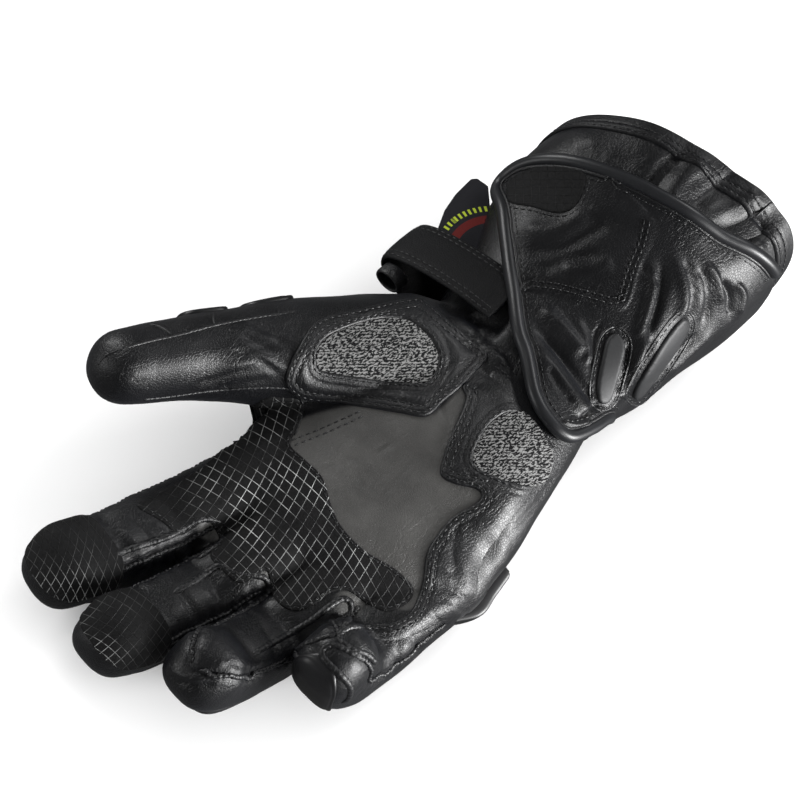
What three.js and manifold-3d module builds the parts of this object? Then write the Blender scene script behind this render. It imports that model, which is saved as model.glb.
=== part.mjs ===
// Long-cuffed leather riding glove for the right hand, lying on its back with the palm up.
// Millimetres. +Z is up, -Y points to the fingertips, -X points to the thumb.
// The origin lies on the resting surface, under the middle of the whole glove.
import * as THREE from "three";
import { mergeVertices } from "three/addons/utils/BufferGeometryUtils.js";
import Module from "manifold-3d";

const wasm = await Module();
wasm.setup();

// Driving sizes
const HAND_LENGTH = 100;
const HAND_WIDTH = 100;
const HAND_THICKNESS = 40;
const CUFF_LENGTH = 90;
const CUFF_WIDTH = 96;
const CUFF_HEIGHT = 81;
const FINGER_LENGTH = 100;
const FINGER_WIDTH = 25;
const FINGER_THICKNESS = 28;
const THUMB_LENGTH = 124;
const THUMB_WIDTH = 30;

// Leather, clearances and trims
const WALL = 1.8;
const GAP = 0.3;
const SHEET_GAP = 0.9;
const PANEL = 1.2;
const GUARD = 3.3;
const FINGER_GUARD = 1.8;
const FLAP = 2.0;
const RIB = 2.2;
const PIPING_RADIUS = 2.1;
const HEM_DEPTH = 9;
const HEM_EXTRA = 0.6;
const STRAP_WIDTH = 22;
const STRAP = 2.2;
const KEEPER_WIDTH = 6;
const KEEPER = 1.4;
const KEEPER_RADIUS = 5.5;
const LABEL = 1.0;

// Meshing
const BODY_SIDES = 22;
const FINGER_SIDES = 10;
const HAND_ROWS = 8;
const CUFF_ROWS = 7;
const HEM_ROWS = 1;
const PIPING_SIDES = 8;
const PIPING_STEPS = 28;
const PIPING_ROOM_SIDES = 4;
const BODY_SQUARENESS = 2.5;
const FINGER_SQUARENESS = 2.9;
const THUMB_SQUARENESS = 2.4;

// Sections of the hand. along: share of HAND_LENGTH behind the knuckles; side, half: shares of
// HAND_WIDTH; low, high: shares of HAND_THICKNESS; slant: how far a section leans back per mm of x.
const HAND_SECTIONS = [
  { along: -0.24, side: -0.01, half: 0.28, low: 0.40, high: 0.70, slant: 0 },
  { along: -0.21, side: -0.01, half: 0.38, low: 0.28, high: 0.83, slant: 0 },
  { along: -0.13, side: 0.00, half: 0.45, low: 0.16, high: 0.93, slant: 0 },
  { along: 0.00, side: 0.02, half: 0.50, low: 0.09, high: 1.00, slant: 0 },
  { along: 0.20, side: 0.02, half: 0.49, low: 0.09, high: 1.08, slant: 0 },
  { along: 0.45, side: 0.02, half: 0.46, low: 0.10, high: 1.25, slant: 0 },
  { along: 0.70, side: 0.01, half: 0.41, low: 0.14, high: 1.30, slant: 0 },
  { along: 0.92, side: 0.00, half: 0.37, low: 0.20, high: 1.32, slant: 0 },
];
// Sections of the cuff. along: share of CUFF_LENGTH behind the wrist; side, half: shares of
// CUFF_WIDTH; low, high: shares of CUFF_HEIGHT.
const CUFF_SECTIONS = [
  { along: 0.08, side: -0.02, half: 0.385, low: 0.08, high: 0.68, slant: 0.02 },
  { along: 0.27, side: -0.04, half: 0.427, low: 0.03, high: 0.74, slant: 0.08 },
  { along: 0.50, side: -0.06, half: 0.470, low: -0.01, high: 0.84, slant: 0.15 },
  { along: 0.72, side: -0.06, half: 0.500, low: -0.02, high: 0.94, slant: 0.22 },
  { along: 1.00, side: -0.06, half: 0.500, low: -0.02, high: 1.00, slant: 0.30 },
];
// Folds and dents of the wrist and cuff. along: share of CUFF_LENGTH behind the wrist; turn: degrees
// round the cuff from the little finger's side; lean: degrees from across to along; wide, long,
// rise: shares of CUFF_WIDTH, a rise below zero being a groove.
const FOLDS = [
  { along: -0.18, turn: 120, lean: 20, wide: 0.10, long: 0.26, rise: -0.030 },
  { along: -0.04, turn: 112, lean: 25, wide: 0.10, long: 0.24, rise: 0.020 },
  { along: 0.45, turn: 20, lean: 60, wide: 0.11, long: 0.30, rise: -0.032 },
  { along: 0.33, turn: 48, lean: 62, wide: 0.10, long: 0.26, rise: 0.018 },
  { along: 0.84, turn: 66, lean: 55, wide: 0.11, long: 0.22, rise: -0.034 },
  { along: 0.88, turn: 96, lean: 50, wide: 0.11, long: 0.22, rise: 0.024 },
  { along: 0.52, turn: 118, lean: 10, wide: 0.12, long: 0.30, rise: -0.018 },
];
// Fingers. side, behind: knuckle place as shares of HAND_WIDTH and HAND_LENGTH; high: share of
// HAND_THICKNESS; spread: degrees towards the thumb; bend1 to bend3: degrees at each joint;
// bone1 to bone3: shares of FINGER_LENGTH; girth: share of the finger's named width and thickness.
const FINGERS = [
  {
    name: "index", side: -0.32, behind: -0.01, high: 0.53, spread: 14,
    bend1: -4, bend2: 11, bend3: 14, bone1: 0.44, bone2: 0.27, bone3: 0.29, girth: 1.04,
  },
  {
    name: "middle", side: -0.07, behind: -0.06, high: 0.52, spread: 10,
    bend1: -4, bend2: 17, bend3: 20, bone1: 0.48, bone2: 0.29, bone3: 0.25, girth: 1.0,
  },
  {
    name: "ring", side: 0.17, behind: -0.03, high: 0.49, spread: 7,
    bend1: -4, bend2: 28, bend3: 24, bone1: 0.45, bone2: 0.28, bone3: 0.22, girth: 1.0,
  },
  {
    name: "pinky", side: 0.38, behind: 0.06, high: 0.47, spread: 2,
    bend1: 0, bend2: 42, bend3: 40, bone1: 0.36, bone2: 0.20, bone3: 0.22, girth: 0.97,
  },
];
// Finger girth from root to tip. at: joint the row stands at; wide: share of half the finger's
// width; thick: share of half its thickness.
const FINGER_GIRTH = [
  { at: "root", wide: 1.03, thick: 1.07 },
  { at: "second", wide: 1.02, thick: 1.02 },
  { at: "third", wide: 1.00, thick: 0.98 },
  { at: "tip", wide: 0.97, thick: 0.93 },
];
const FINGER_ROOT_DEPTH = 0.20;
const JOINT_BLEND = 0.16;
const FINGER_SEAM = 0.66;
const THUMB_SEAM = 0.53;
const CREASE = 0.08;

// Thumb. Same columns as a finger's, with lift in degrees and bones as shares of THUMB_LENGTH.
const THUMB = {
  name: "thumb", side: -0.26, behind: 0.66, high: 0.825, spread: 38.5, lift: 8, roll: -80,
  bend1: 0, bend2: 5, bend3: 8, bone1: 0.37, bone2: 0.31, bone3: 0.32,
};
// Thumb girth. at: share of THUMB_LENGTH; wide, over, under: shares of half THUMB_WIDTH.
const THUMB_GIRTH = [
  { at: -0.16, wide: 1.33, over: 1.33, under: 1.33 },
  { at: 0.00, wide: 1.47, over: 1.47, under: 1.67 },
  { at: 0.24, wide: 1.33, over: 1.27, under: 1.53 },
  { at: 0.37, wide: 1.20, over: 1.13, under: 1.40 },
  { at: 0.53, wide: 1.07, over: 0.97, under: 1.13 },
  { at: 0.68, wide: 0.97, over: 0.87, under: 1.00 },
  { at: 0.85, wide: 0.88, over: 0.80, under: 0.87 },
  { at: 1.00, wide: 0.80, over: 0.77, under: 0.80 },
];

// Outlines of the palm's panels, seen from above. side: share of HAND_WIDTH; behind: share of
// HAND_LENGTH behind the knuckles.
const THUMB_HEEL_PANEL = [
  { side: -0.48, behind: 0.17 }, { side: -0.56, behind: 0.36 }, { side: -0.43, behind: 0.75 },
  { side: -0.36, behind: 0.78 }, { side: -0.16, behind: 0.78 }, { side: -0.05, behind: 0.76 },
  { side: -0.05, behind: 0.60 }, { side: -0.06, behind: 0.43 }, { side: -0.22, behind: 0.32 },
  { side: -0.42, behind: 0.20 },
];
const THUMB_KNIT_PATCH = [
  { side: -0.47, behind: 0.31 }, { side: -0.43, behind: 0.50 }, { side: -0.35, behind: 0.61 },
  { side: -0.24, behind: 0.64 }, { side: -0.16, behind: 0.61 }, { side: -0.14, behind: 0.53 },
  { side: -0.26, behind: 0.41 }, { side: -0.40, behind: 0.27 },
];
const OUTER_SIDE_PANEL = [
  { side: -0.02, behind: 0.76 }, { side: -0.02, behind: 0.60 }, { side: 0.07, behind: 0.43 },
  { side: 0.11, behind: 0.34 }, { side: 0.15, behind: 0.32 }, { side: 0.25, behind: 0.37 },
  { side: 0.29, behind: 0.35 }, { side: 0.27, behind: 0.24 }, { side: 0.29, behind: 0.10 },
  { side: 0.36, behind: 0.03 }, { side: 0.40, behind: -0.06 }, { side: 0.40, behind: -0.13 },
  { side: 0.60, behind: -0.13 }, { side: 0.60, behind: 0.72 }, { side: 0.30, behind: 0.72 },
  { side: 0.10, behind: 0.76 },
];
const HEEL_KNIT_PATCH = [
  { side: 0.12, behind: 0.60 }, { side: 0.18, behind: 0.68 }, { side: 0.34, behind: 0.68 },
  { side: 0.40, behind: 0.61 }, { side: 0.35, behind: 0.50 }, { side: 0.26, behind: 0.43 },
  { side: 0.18, behind: 0.45 }, { side: 0.13, behind: 0.53 },
];
const GRIP_PATCH = [
  { side: -0.50, behind: 0.04 }, { side: -0.41, behind: 0.14 }, { side: -0.37, behind: 0.13 },
  { side: -0.31, behind: 0.05 }, { side: -0.14, behind: 0.02 }, { side: -0.04, behind: -0.04 },
  { side: 0.15, behind: -0.06 }, { side: 0.33, behind: -0.03 }, { side: 0.36, behind: -0.09 },
  { side: 0.33, behind: -0.16 }, { side: 0.19, behind: -0.21 }, { side: 0.15, behind: -0.28 },
  { side: 0.12, behind: -0.38 }, { side: 0.02, behind: -0.39 }, { side: -0.01, behind: -0.29 },
  { side: -0.04, behind: -0.29 }, { side: -0.08, behind: -0.43 }, { side: -0.20, behind: -0.44 },
  { side: -0.24, behind: -0.30 }, { side: -0.28, behind: -0.30 }, { side: -0.34, behind: -0.45 },
  { side: -0.48, behind: -0.47 }, { side: -0.52, behind: -0.30 }, { side: -0.51, behind: -0.10 },
];
const KNUCKLE_GUARD = [
  { side: -0.42, behind: -0.12 }, { side: 0.44, behind: -0.12 }, { side: 0.60, behind: -0.06 },
  { side: 0.60, behind: 0.30 }, { side: 0.40, behind: 0.36 }, { side: -0.34, behind: 0.36 },
  { side: -0.42, behind: 0.28 },
];
const PALM_LEVEL = 0.60;
const GUARD_LEVEL = 0.38;

// Pieces that lie on a finger. from, to: shares of the finger's own length; half: share of its
// width; face: 1 on the palm side, -1 on the back.
const FINGER_PIECES = [
  { node: "index_tip_grip", finger: "index", from: 0.72, to: 1.10, half: 0.60, face: 1, thick: PANEL },
  { node: "middle_tip_grip", finger: "middle", from: 0.74, to: 1.10, half: 0.60, face: 1, thick: PANEL },
  { node: "index_back_panel", finger: "index", from: 0.45, to: 0.80, half: 0.36, face: -1, thick: FINGER_GUARD },
  { node: "middle_back_panel", finger: "middle", from: 0.45, to: 0.80, half: 0.36, face: -1, thick: FINGER_GUARD },
  { node: "ring_back_panel", finger: "ring", from: 0.45, to: 0.82, half: 0.36, face: -1, thick: FINGER_GUARD },
  { node: "pinky_back_panel", finger: "pinky", from: 0.62, to: 0.98, half: 0.36, face: -1, thick: FINGER_GUARD },
  { node: "thumb_back_patch_1", finger: "thumb", from: 0.35, to: 0.52, half: 0.36, face: -1, thick: FINGER_GUARD },
  { node: "thumb_back_patch_2", finger: "thumb", from: 0.55, to: 0.70, half: 0.33, face: -1, thick: FINGER_GUARD },
];

// Closing flap and what lies on it, in rows across the cuff. along: share of CUFF_LENGTH behind
// the wrist; from, to: degrees round the cuff from the little finger's side, 90 being the palm side.
const FLAP_ROWS = [
  { along: -0.28, from: 52, to: 66 }, { along: -0.24, from: 40, to: 76 },
  { along: -0.11, from: 26, to: 92 }, { along: 0.02, from: 12, to: 106 },
  { along: 0.12, from: -14, to: 118 }, { along: 0.24, from: -20, to: 130 },
  { along: 0.36, from: -20, to: 142 }, { along: 0.46, from: -20, to: 156 },
  { along: 0.54, from: -20, to: 161 }, { along: 0.61, from: -20, to: 152 },
  { along: 0.65, from: -20, to: 128 }, { along: 0.68, from: -20, to: 96 },
  { along: 0.72, from: -20, to: 66 }, { along: 0.80, from: -20, to: 38 },
  { along: 0.86, from: -20, to: 16 },
];
// The piping goes round the flap's low corner as far as this row.
const FLAP_CORNER_ROWS = 5;
const CORNER_PATCH_ROWS = [
  { along: 0.40, from: 104, to: 138 }, { along: 0.44, from: 104, to: 146 },
  { along: 0.56, from: 108, to: 150 }, { along: 0.60, from: 112, to: 140 },
];
const RIB_ROWS = [
  [
    { along: 0.00, from: 33, to: 38 }, { along: 0.05, from: 31, to: 46 },
    { along: 0.17, from: 42, to: 58 }, { along: 0.23, from: 53, to: 60 },
  ],
  [
    { along: 0.23, from: 14, to: 19 }, { along: 0.28, from: 12, to: 26 },
    { along: 0.43, from: 30, to: 43 }, { along: 0.49, from: 37, to: 44 },
  ],
];
const SHEET_STEPS = 1;
const PIPING_POINTS_PER_ROW = 2;
const FLAP_COLUMNS = 11;
const PATCH_POINTS = 12;
const TRIM_COLUMNS = 3;
const FLATNESS = 0.02;

// Wrist strap, seen along the glove. side: share of HAND_WIDTH; high: share of HAND_THICKNESS.
const STRAP_ROUTE = [
  { side: -0.15, high: 1.40 }, { side: -0.28, high: 1.36 }, { side: -0.42, high: 1.27 },
  { side: -0.54, high: 1.15 }, { side: -0.605, high: 1.02 }, { side: -0.60, high: 0.88 },
  { side: -0.54, high: 0.78 }, { side: -0.46, high: 0.66 }, { side: -0.395, high: 0.50 },
  { side: -0.365, high: 0.34 },
];
const STRAP_START = 0.87;
const STRAP_STEPS = 20;
const KEEPER_PLACE = { side: -0.535, high: 0.98 };
// Woven label, seen from above. side: share of CUFF_WIDTH; along: share of CUFF_LENGTH.
const LABEL_OUTLINE = [
  { side: -0.365, along: 0.12 }, { side: -0.54, along: 0.13 }, { side: -0.615, along: 0.19 },
  { side: -0.645, along: 0.28 }, { side: -0.635, along: 0.37 }, { side: -0.595, along: 0.41 },
  { side: -0.365, along: 0.41 },
];
const LABEL_HIGH = 0.52;

const radians = (degrees) => (degrees * Math.PI) / 180;
const mix = (a, b, t) => a + (b - a) * t;
const smoothStep = (t) => {
  const c = Math.min(Math.max(t, 0), 1);
  return c * c * (3 - 2 * c);
};
const bulge = (v, squareness) => Math.sign(v) * Math.abs(v) ** (2 / squareness);

// Both section tables as one list of rows in millimetres.
const BODY_ROWS = [
  ...HAND_SECTIONS.map((row) => ({
    y: row.along * HAND_LENGTH,
    side: row.side * HAND_WIDTH,
    half: row.half * HAND_WIDTH,
    low: row.low * HAND_THICKNESS,
    high: row.high * HAND_THICKNESS,
    slant: row.slant,
  })),
  ...CUFF_SECTIONS.map((row) => ({
    y: HAND_LENGTH + row.along * CUFF_LENGTH,
    side: row.side * CUFF_WIDTH,
    half: row.half * CUFF_WIDTH,
    low: row.low * CUFF_HEIGHT,
    high: row.high * CUFF_HEIGHT,
    slant: row.slant,
  })),
];
const KNUCKLE_END = BODY_ROWS[0].y;
const CUFF_END = HAND_LENGTH + CUFF_LENGTH;

// A column of the body's table at any y, as a cubic through the rows with central slopes.
function columnAt(y, key) {
  const last = BODY_ROWS.length - 1;
  let i = 0;
  while (i < last - 1 && y > BODY_ROWS[i + 1].y) i += 1;
  const slope = (k) => {
    const a = BODY_ROWS[Math.max(k - 1, 0)];
    const b = BODY_ROWS[Math.min(k + 1, last)];
    return (b[key] - a[key]) / (b.y - a.y);
  };
  const a = BODY_ROWS[i];
  const b = BODY_ROWS[i + 1];
  const run = b.y - a.y;
  const t = Math.min(Math.max((y - a.y) / run, 0), 1);
  const t2 = t * t;
  const t3 = t2 * t;
  return (2 * t3 - 3 * t2 + 1) * a[key] + (t3 - 2 * t2 + t) * run * slope(i)
    + (3 * t2 - 2 * t3) * b[key] + (t3 - t2) * run * slope(i + 1);
}

// Height of the folds at a turn round the body, the sum of one soft ridge for each row.
function foldHeight(turn, y) {
  const radius = CUFF_WIDTH / 2;
  let height = 0;
  for (const fold of FOLDS) {
    let across = turn - radians(fold.turn);
    across = Math.atan2(Math.sin(across), Math.cos(across)) * radius;
    const along = y - HAND_LENGTH - fold.along * CUFF_LENGTH;
    const lean = radians(fold.lean);
    const p = across * Math.cos(lean) + along * Math.sin(lean);
    const q = along * Math.cos(lean) - across * Math.sin(lean);
    const reach = (p / (fold.long * CUFF_WIDTH)) ** 2 + (q / (fold.wide * CUFF_WIDTH)) ** 2;
    height += fold.rise * CUFF_WIDTH * Math.exp(-reach);
  }
  return height;
}

// A point of the hand and cuff, grow millimetres outside the leather's outer face.
// The knuckle end is bowed, the cuff's sections lean back, and the underside rests on z = 0.
function bodyPoint(turn, y, grow) {
  const side = columnAt(y, "side");
  const half = columnAt(y, "half");
  const low = columnAt(y, "low");
  const high = columnAt(y, "high");
  const raise = grow + foldHeight(turn, y);
  const x = side + (half + raise) * bulge(Math.cos(turn), BODY_SQUARENESS);
  const tall = (high - low) / 2 + raise;
  const z = (low + high) / 2 + tall * bulge(Math.sin(turn), BODY_SQUARENESS);
  const bowReach = 1 - smoothStep((y - KNUCKLE_END) / (0.7 * HAND_LENGTH));
  const bow = 0.09 * HAND_LENGTH * ((x / HAND_WIDTH + 0.08) / 0.4) ** 2 * bowReach;
  return new THREE.Vector3(x, y + columnAt(y, "slant") * x + bow, Math.max(z, 0, -grow));
}

// Closed solid through rings of points, its two ends closed to their middle points.
function solidFromRings(rings) {
  const sides = rings[0].length;
  const points = rings.flat();
  const faces = [];
  for (let r = 0; r < rings.length - 1; r += 1) {
    for (let k = 0; k < sides; k += 1) {
      const a = r * sides + k;
      const b = r * sides + ((k + 1) % sides);
      faces.push([a, b, b + sides], [a, b + sides, a + sides]);
    }
  }
  const middle = (ring) => ring.reduce((sum, p) => sum.add(p), new THREE.Vector3()).divideScalar(sides);
  const lastStart = (rings.length - 1) * sides;
  const firstMiddle = points.push(middle(rings[0])) - 1;
  const lastMiddle = points.push(middle(rings[rings.length - 1])) - 1;
  for (let k = 0; k < sides; k += 1) {
    const next = (k + 1) % sides;
    faces.push([firstMiddle, next, k], [lastMiddle, lastStart + k, lastStart + next]);
  }
  return solidFromFaces(points, faces);
}

// Solid from points and triangles, turned so that its faces point outwards.
function solidFromFaces(points, faces) {
  let volume = 0;
  for (const [a, b, c] of faces) {
    volume += points[a].dot(new THREE.Vector3().crossVectors(points[b], points[c]));
  }
  const order = volume < 0 ? faces.map(([a, b, c]) => [a, c, b]) : faces;
  const geometry = new THREE.BufferGeometry();
  geometry.setAttribute("position", new THREE.Float32BufferAttribute(points.flatMap((p) => p.toArray()), 3));
  geometry.setIndex(order.flat());
  return solidFromGeometry(geometry);
}

function solidFromGeometry(geometry) {
  const bare = geometry.clone();
  bare.deleteAttribute("normal");
  bare.deleteAttribute("uv");
  const merged = mergeVertices(bare, 1e-4);
  return new wasm.Manifold(new wasm.Mesh({
    numProp: 3,
    vertProperties: new Float32Array(merged.attributes.position.array),
    triVerts: new Uint32Array(merged.index.array),
  }));
}

// Stations along the glove: close together where the knuckle end rounds off, then even.
const evenStations = (from, to, rows) => Array.from({ length: rows + 1 }, (_, r) => mix(from, to, r / rows));
const roundEnd = BODY_ROWS[2].y;
const hemStart = CUFF_END - HEM_DEPTH;
const HAND_STATIONS = [
  KNUCKLE_END, BODY_ROWS[1].y, mix(BODY_ROWS[1].y, roundEnd, 0.5), ...evenStations(roundEnd, HAND_LENGTH, HAND_ROWS),
];
const CUFF_STATIONS = evenStations(HAND_LENGTH + GAP, hemStart, CUFF_ROWS);
const HEM_STATIONS = evenStations(hemStart + GAP, CUFF_END, HEM_ROWS);

// Solid of the hand and cuff through stations, grown by grow. past lengthens its open end.
function bodySolid(stations, grow, past = 0) {
  const last = stations.length - 1;
  const rings = stations.map((y, r) => {
    const ring = [];
    for (let k = 0; k < BODY_SIDES; k += 1) {
      const point = bodyPoint(((k + 0.5) / BODY_SIDES) * 2 * Math.PI, y, grow);
      if (y === KNUCKLE_END) point.y -= grow;
      if (r === last) point.y += past;
      ring.push(point);
    }
    return ring;
  });
  return solidFromRings(rings);
}

// Middle line of a finger or thumb: its direction turns at each joint over a short blend.
// Each sample holds the place, the direction, the palm-side normal and the side direction.
function fingerLine(finger) {
  const isThumb = finger.name === "thumb";
  const length = isThumb ? THUMB_LENGTH : FINGER_LENGTH;
  const spread = radians(finger.spread);
  const lift = radians(finger.lift ?? 0);
  const forward = new THREE.Vector3(
    -Math.sin(spread) * Math.cos(lift),
    -Math.cos(spread) * Math.cos(lift),
    Math.sin(lift),
  );
  const up = new THREE.Vector3(0, 0, 1).addScaledVector(forward, -forward.z).normalize();
  const roll = radians(finger.roll ?? 0);
  const toSide = new THREE.Vector3().crossVectors(forward, up);
  const palm = up.clone().multiplyScalar(Math.cos(roll)).addScaledVector(toSide, Math.sin(roll));
  const side = new THREE.Vector3().crossVectors(forward, palm);
  const joints = [0, finger.bone1 * length, (finger.bone1 + finger.bone2) * length];
  const bends = [finger.bend1, finger.bend2, finger.bend3].map(radians);
  const blend = JOINT_BLEND * FINGER_LENGTH;
  const turnAt = (s) => bends.reduce((sum, bend, i) => sum + bend * smoothStep((s - joints[i]) / blend + 0.5), 0);
  const root = new THREE.Vector3(
    finger.side * HAND_WIDTH,
    finger.behind * HAND_LENGTH,
    finger.high * HAND_THICKNESS,
  );
  const end = (finger.bone1 + finger.bone2 + finger.bone3) * length;
  const directionAt = (s) => forward.clone().multiplyScalar(Math.cos(turnAt(s)))
    .addScaledVector(palm, Math.sin(turnAt(s)));
  const normalAt = (s) => palm.clone().multiplyScalar(Math.cos(turnAt(s)))
    .addScaledVector(forward, -Math.sin(turnAt(s)));
  const placeAt = (s) => {
    const steps = Math.max(Math.ceil(Math.abs(s)), 1);
    const place = root.clone();
    for (let i = 0; i < steps; i += 1) place.addScaledVector(directionAt(((i + 0.5) / steps) * s), s / steps);
    return place;
  };
  return { joints, end, blend, side, directionAt, normalAt, placeAt };
}

// Half width, palm-side height and back height of a finger at s.
function fingerGirth(finger, line, s) {
  const isThumb = finger.name === "thumb";
  const stops = isThumb
    ? THUMB_GIRTH.map((row) => row.at * THUMB_LENGTH)
    : [line.joints[0], line.joints[1], line.joints[2], line.end];
  const rows = isThumb ? THUMB_GIRTH : FINGER_GIRTH;
  let i = 0;
  while (i < stops.length - 2 && s > stops[i + 1]) i += 1;
  const t = Math.min(Math.max((s - stops[i]) / (stops[i + 1] - stops[i]), 0), 1);
  const at = (key) => mix(rows[i][key], rows[i + 1][key], t);
  if (isThumb) {
    const half = THUMB_WIDTH / 2;
    return { wide: at("wide") * half, over: at("over") * half, under: at("under") * half };
  }
  const thick = at("thick") * (FINGER_THICKNESS / 2) * finger.girth;
  let crease = 0;
  for (const joint of line.joints.slice(1)) crease += CREASE * Math.exp(-(((s - joint) / (line.blend / 4)) ** 2));
  return { wide: at("wide") * (FINGER_WIDTH / 2) * finger.girth, over: thick * (1 - crease), under: thick };
}

// Closed tube of a finger, grown by grow, with a rounded tip, from its root in the hand or from start.
function fingerSolid(finger, grow, start) {
  const line = fingerLine(finger);
  const root = start ?? -FINGER_ROOT_DEPTH * FINGER_LENGTH - grow;
  const end = line.end + grow;
  const tip = fingerGirth(finger, line, line.end);
  const cap = Math.min(tip.wide, tip.over) * 1.05 + grow;
  const half = line.blend / 2;
  const wanted = [root, line.joints[1] / 2];
  for (const joint of line.joints.slice(1)) wanted.push(joint - half, joint, joint + half);
  for (const share of [0.85, 0.4, 0.08]) wanted.push(end - share * cap);
  const stations = [root];
  for (const s of wanted) {
    if (s - stations[stations.length - 1] > 0.1 * cap) stations.push(s);
  }
  const squareness = finger.name === "thumb" ? THUMB_SQUARENESS : FINGER_SQUARENESS;
  const rings = stations.map((s) => {
    const place = line.placeAt(s);
    const normal = line.normalAt(s);
    const girth = fingerGirth(finger, line, s);
    const inCap = Math.max((s - (end - cap)) / cap, 0);
    const round = Math.sqrt(Math.max(1 - inCap ** 2.2, 1e-3));
    const ring = [];
    for (let k = 0; k < FINGER_SIDES; k += 1) {
      const angle = ((k + 0.5) / FINGER_SIDES) * 2 * Math.PI;
      const across = bulge(Math.cos(angle), squareness) * (girth.wide + grow) * round;
      const height = bulge(Math.sin(angle), squareness) * ((Math.sin(angle) > 0 ? girth.over : girth.under) + grow);
      ring.push(place.clone().addScaledVector(line.side, across).addScaledVector(normal, height * round));
    }
    return ring;
  });
  return solidFromRings(rings);
}

const ALL_FINGERS = [...FINGERS, THUMB];

// The whole outer form grown by grow: hand, cuff and all fingers as one solid.
const grownForms = new Map();
function grownForm(grow) {
  if (!grownForms.has(grow)) {
    let form = bodySolid([...HAND_STATIONS, ...CUFF_STATIONS, ...HEM_STATIONS], grow);
    for (const finger of ALL_FINGERS) form = form.add(fingerSolid(finger, grow));
    grownForms.set(grow, form);
  }
  return grownForms.get(grow);
}

function largestPiece(solid) {
  const pieces = solid.decompose();
  return pieces.reduce((best, piece) => (piece.volume() > best.volume() ? piece : best));
}

// Outline seen from above, pushed up from low to high.
function uprightPrism(points, low, high) {
  const geometry = new THREE.ExtrudeGeometry(new THREE.Shape(points), { depth: high - low, bevelEnabled: false });
  geometry.translate(0, 0, low);
  return solidFromGeometry(geometry);
}
// Everything above the surface that the glove lies on.
const farAway = 10 * HAND_LENGTH;
const aboveRest = uprightPrism([
  new THREE.Vector2(-farAway, -farAway), new THREE.Vector2(farAway, -farAway),
  new THREE.Vector2(farAway, farAway), new THREE.Vector2(-farAway, farAway),
], 0, farAway);
const palmPoints = (outline) => outline.map((row) => new THREE.Vector2(row.side * HAND_WIDTH, row.behind * HAND_LENGTH));
const roundedPoints = (points, count) => {
  const curve = new THREE.CatmullRomCurve3(points.map((p) => new THREE.Vector3(p.x, p.y, 0)), true);
  return curve.getPoints(count).slice(0, count).map((p) => new THREE.Vector2(p.x, p.y));
};
// The same outline moved outwards by a margin, from its middle.
const widerPoints = (points, margin) => {
  const middle = points.reduce((sum, p) => sum.add(p), new THREE.Vector2()).divideScalar(points.length);
  return points.map((p) => {
    const away = p.clone().sub(middle);
    return middle.clone().add(away.setLength(away.length() + margin));
  });
};

// Panel on the leather: what an outline's prism cuts from the layer between two growths.
function layerPiece(prism, thick) {
  return largestPiece(prism.intersect(grownForm(GAP + thick)).subtract(grownForm(GAP)).intersect(aboveRest));
}
function palmPanel(points) {
  const top = CUFF_HEIGHT + HAND_THICKNESS;
  return layerPiece(uprightPrism(points, PALM_LEVEL * HAND_THICKNESS, top), PANEL);
}

// Piece on one finger: an outline with cut corners, pushed out from the finger's middle line.
function fingerPiece(row) {
  const finger = ALL_FINGERS.find((one) => one.name === row.finger);
  const line = fingerLine(finger);
  const width = row.finger === "thumb" ? THUMB_WIDTH : FINGER_WIDTH;
  const from = row.from * line.end;
  const to = row.to * line.end;
  const middle = (from + Math.min(to, line.end)) / 2;
  const half = row.half * width;
  const corner = 0.3 * half;
  const flat = [
    [from, -half + corner], [from + corner, -half], [to - corner, -half], [to, -half + corner],
    [to, half - corner], [to - corner, half], [from + corner, half], [from, half - corner],
  ].map(([s, across]) => new THREE.Vector2(s - middle, across));
  const geometry = new THREE.ExtrudeGeometry(new THREE.Shape(flat), { depth: width, bevelEnabled: false });
  const out = line.normalAt(middle).multiplyScalar(row.face);
  const forward = line.directionAt(middle);
  const across = new THREE.Vector3().crossVectors(out, forward);
  const place = line.placeAt(middle).addScaledVector(out, 0.12 * width);
  geometry.applyMatrix4(new THREE.Matrix4().makeBasis(forward, across, out).setPosition(place));
  return layerPiece(solidFromGeometry(geometry), row.thick);
}

// Rows of a sheet's table with steps - 1 more between each pair, in millimetres and radians.
function fineRows(rows, steps) {
  const fine = [];
  for (let r = 0; r < rows.length - 1; r += 1) {
    const last = r === rows.length - 2 ? steps : steps - 1;
    for (let i = 0; i <= last; i += 1) {
      const at = (key) => mix(rows[r][key], rows[r + 1][key], i / steps);
      fine.push({ y: HAND_LENGTH + at("along") * CUFF_LENGTH, from: radians(at("from")), to: radians(at("to")) });
    }
  }
  return fine;
}

// Sheet on the cuff between two growths, its rows running from one turn to another.
function cuffSheet(rows, low, high, columns) {
  const rings = fineRows(rows, SHEET_STEPS).map(({ y, from, to }) => {
    const outside = [];
    const inside = [];
    for (let c = 0; c <= columns; c += 1) {
      const turn = mix(from, to, c / columns);
      outside.push(bodyPoint(turn, y, high));
      inside.unshift(bodyPoint(turn, y, low));
    }
    return [...outside, ...inside];
  });
  return solidFromRings(rings);
}

// Cord along a curve: a tube of a few flat sides whose flats lie at least radius from the middle.
function cord(curve, radius, sides) {
  const corner = radius / Math.cos(Math.PI / sides);
  const section = new THREE.Shape(Array.from({ length: sides }, (_, k) => {
    const angle = ((k + 0.5) / sides) * 2 * Math.PI;
    return new THREE.Vector2(corner * Math.cos(angle), corner * Math.sin(angle));
  }));
  return solidFromGeometry(new THREE.ExtrudeGeometry(section, {
    extrudePath: curve, steps: PIPING_STEPS, bevelEnabled: false,
  }));
}

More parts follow.
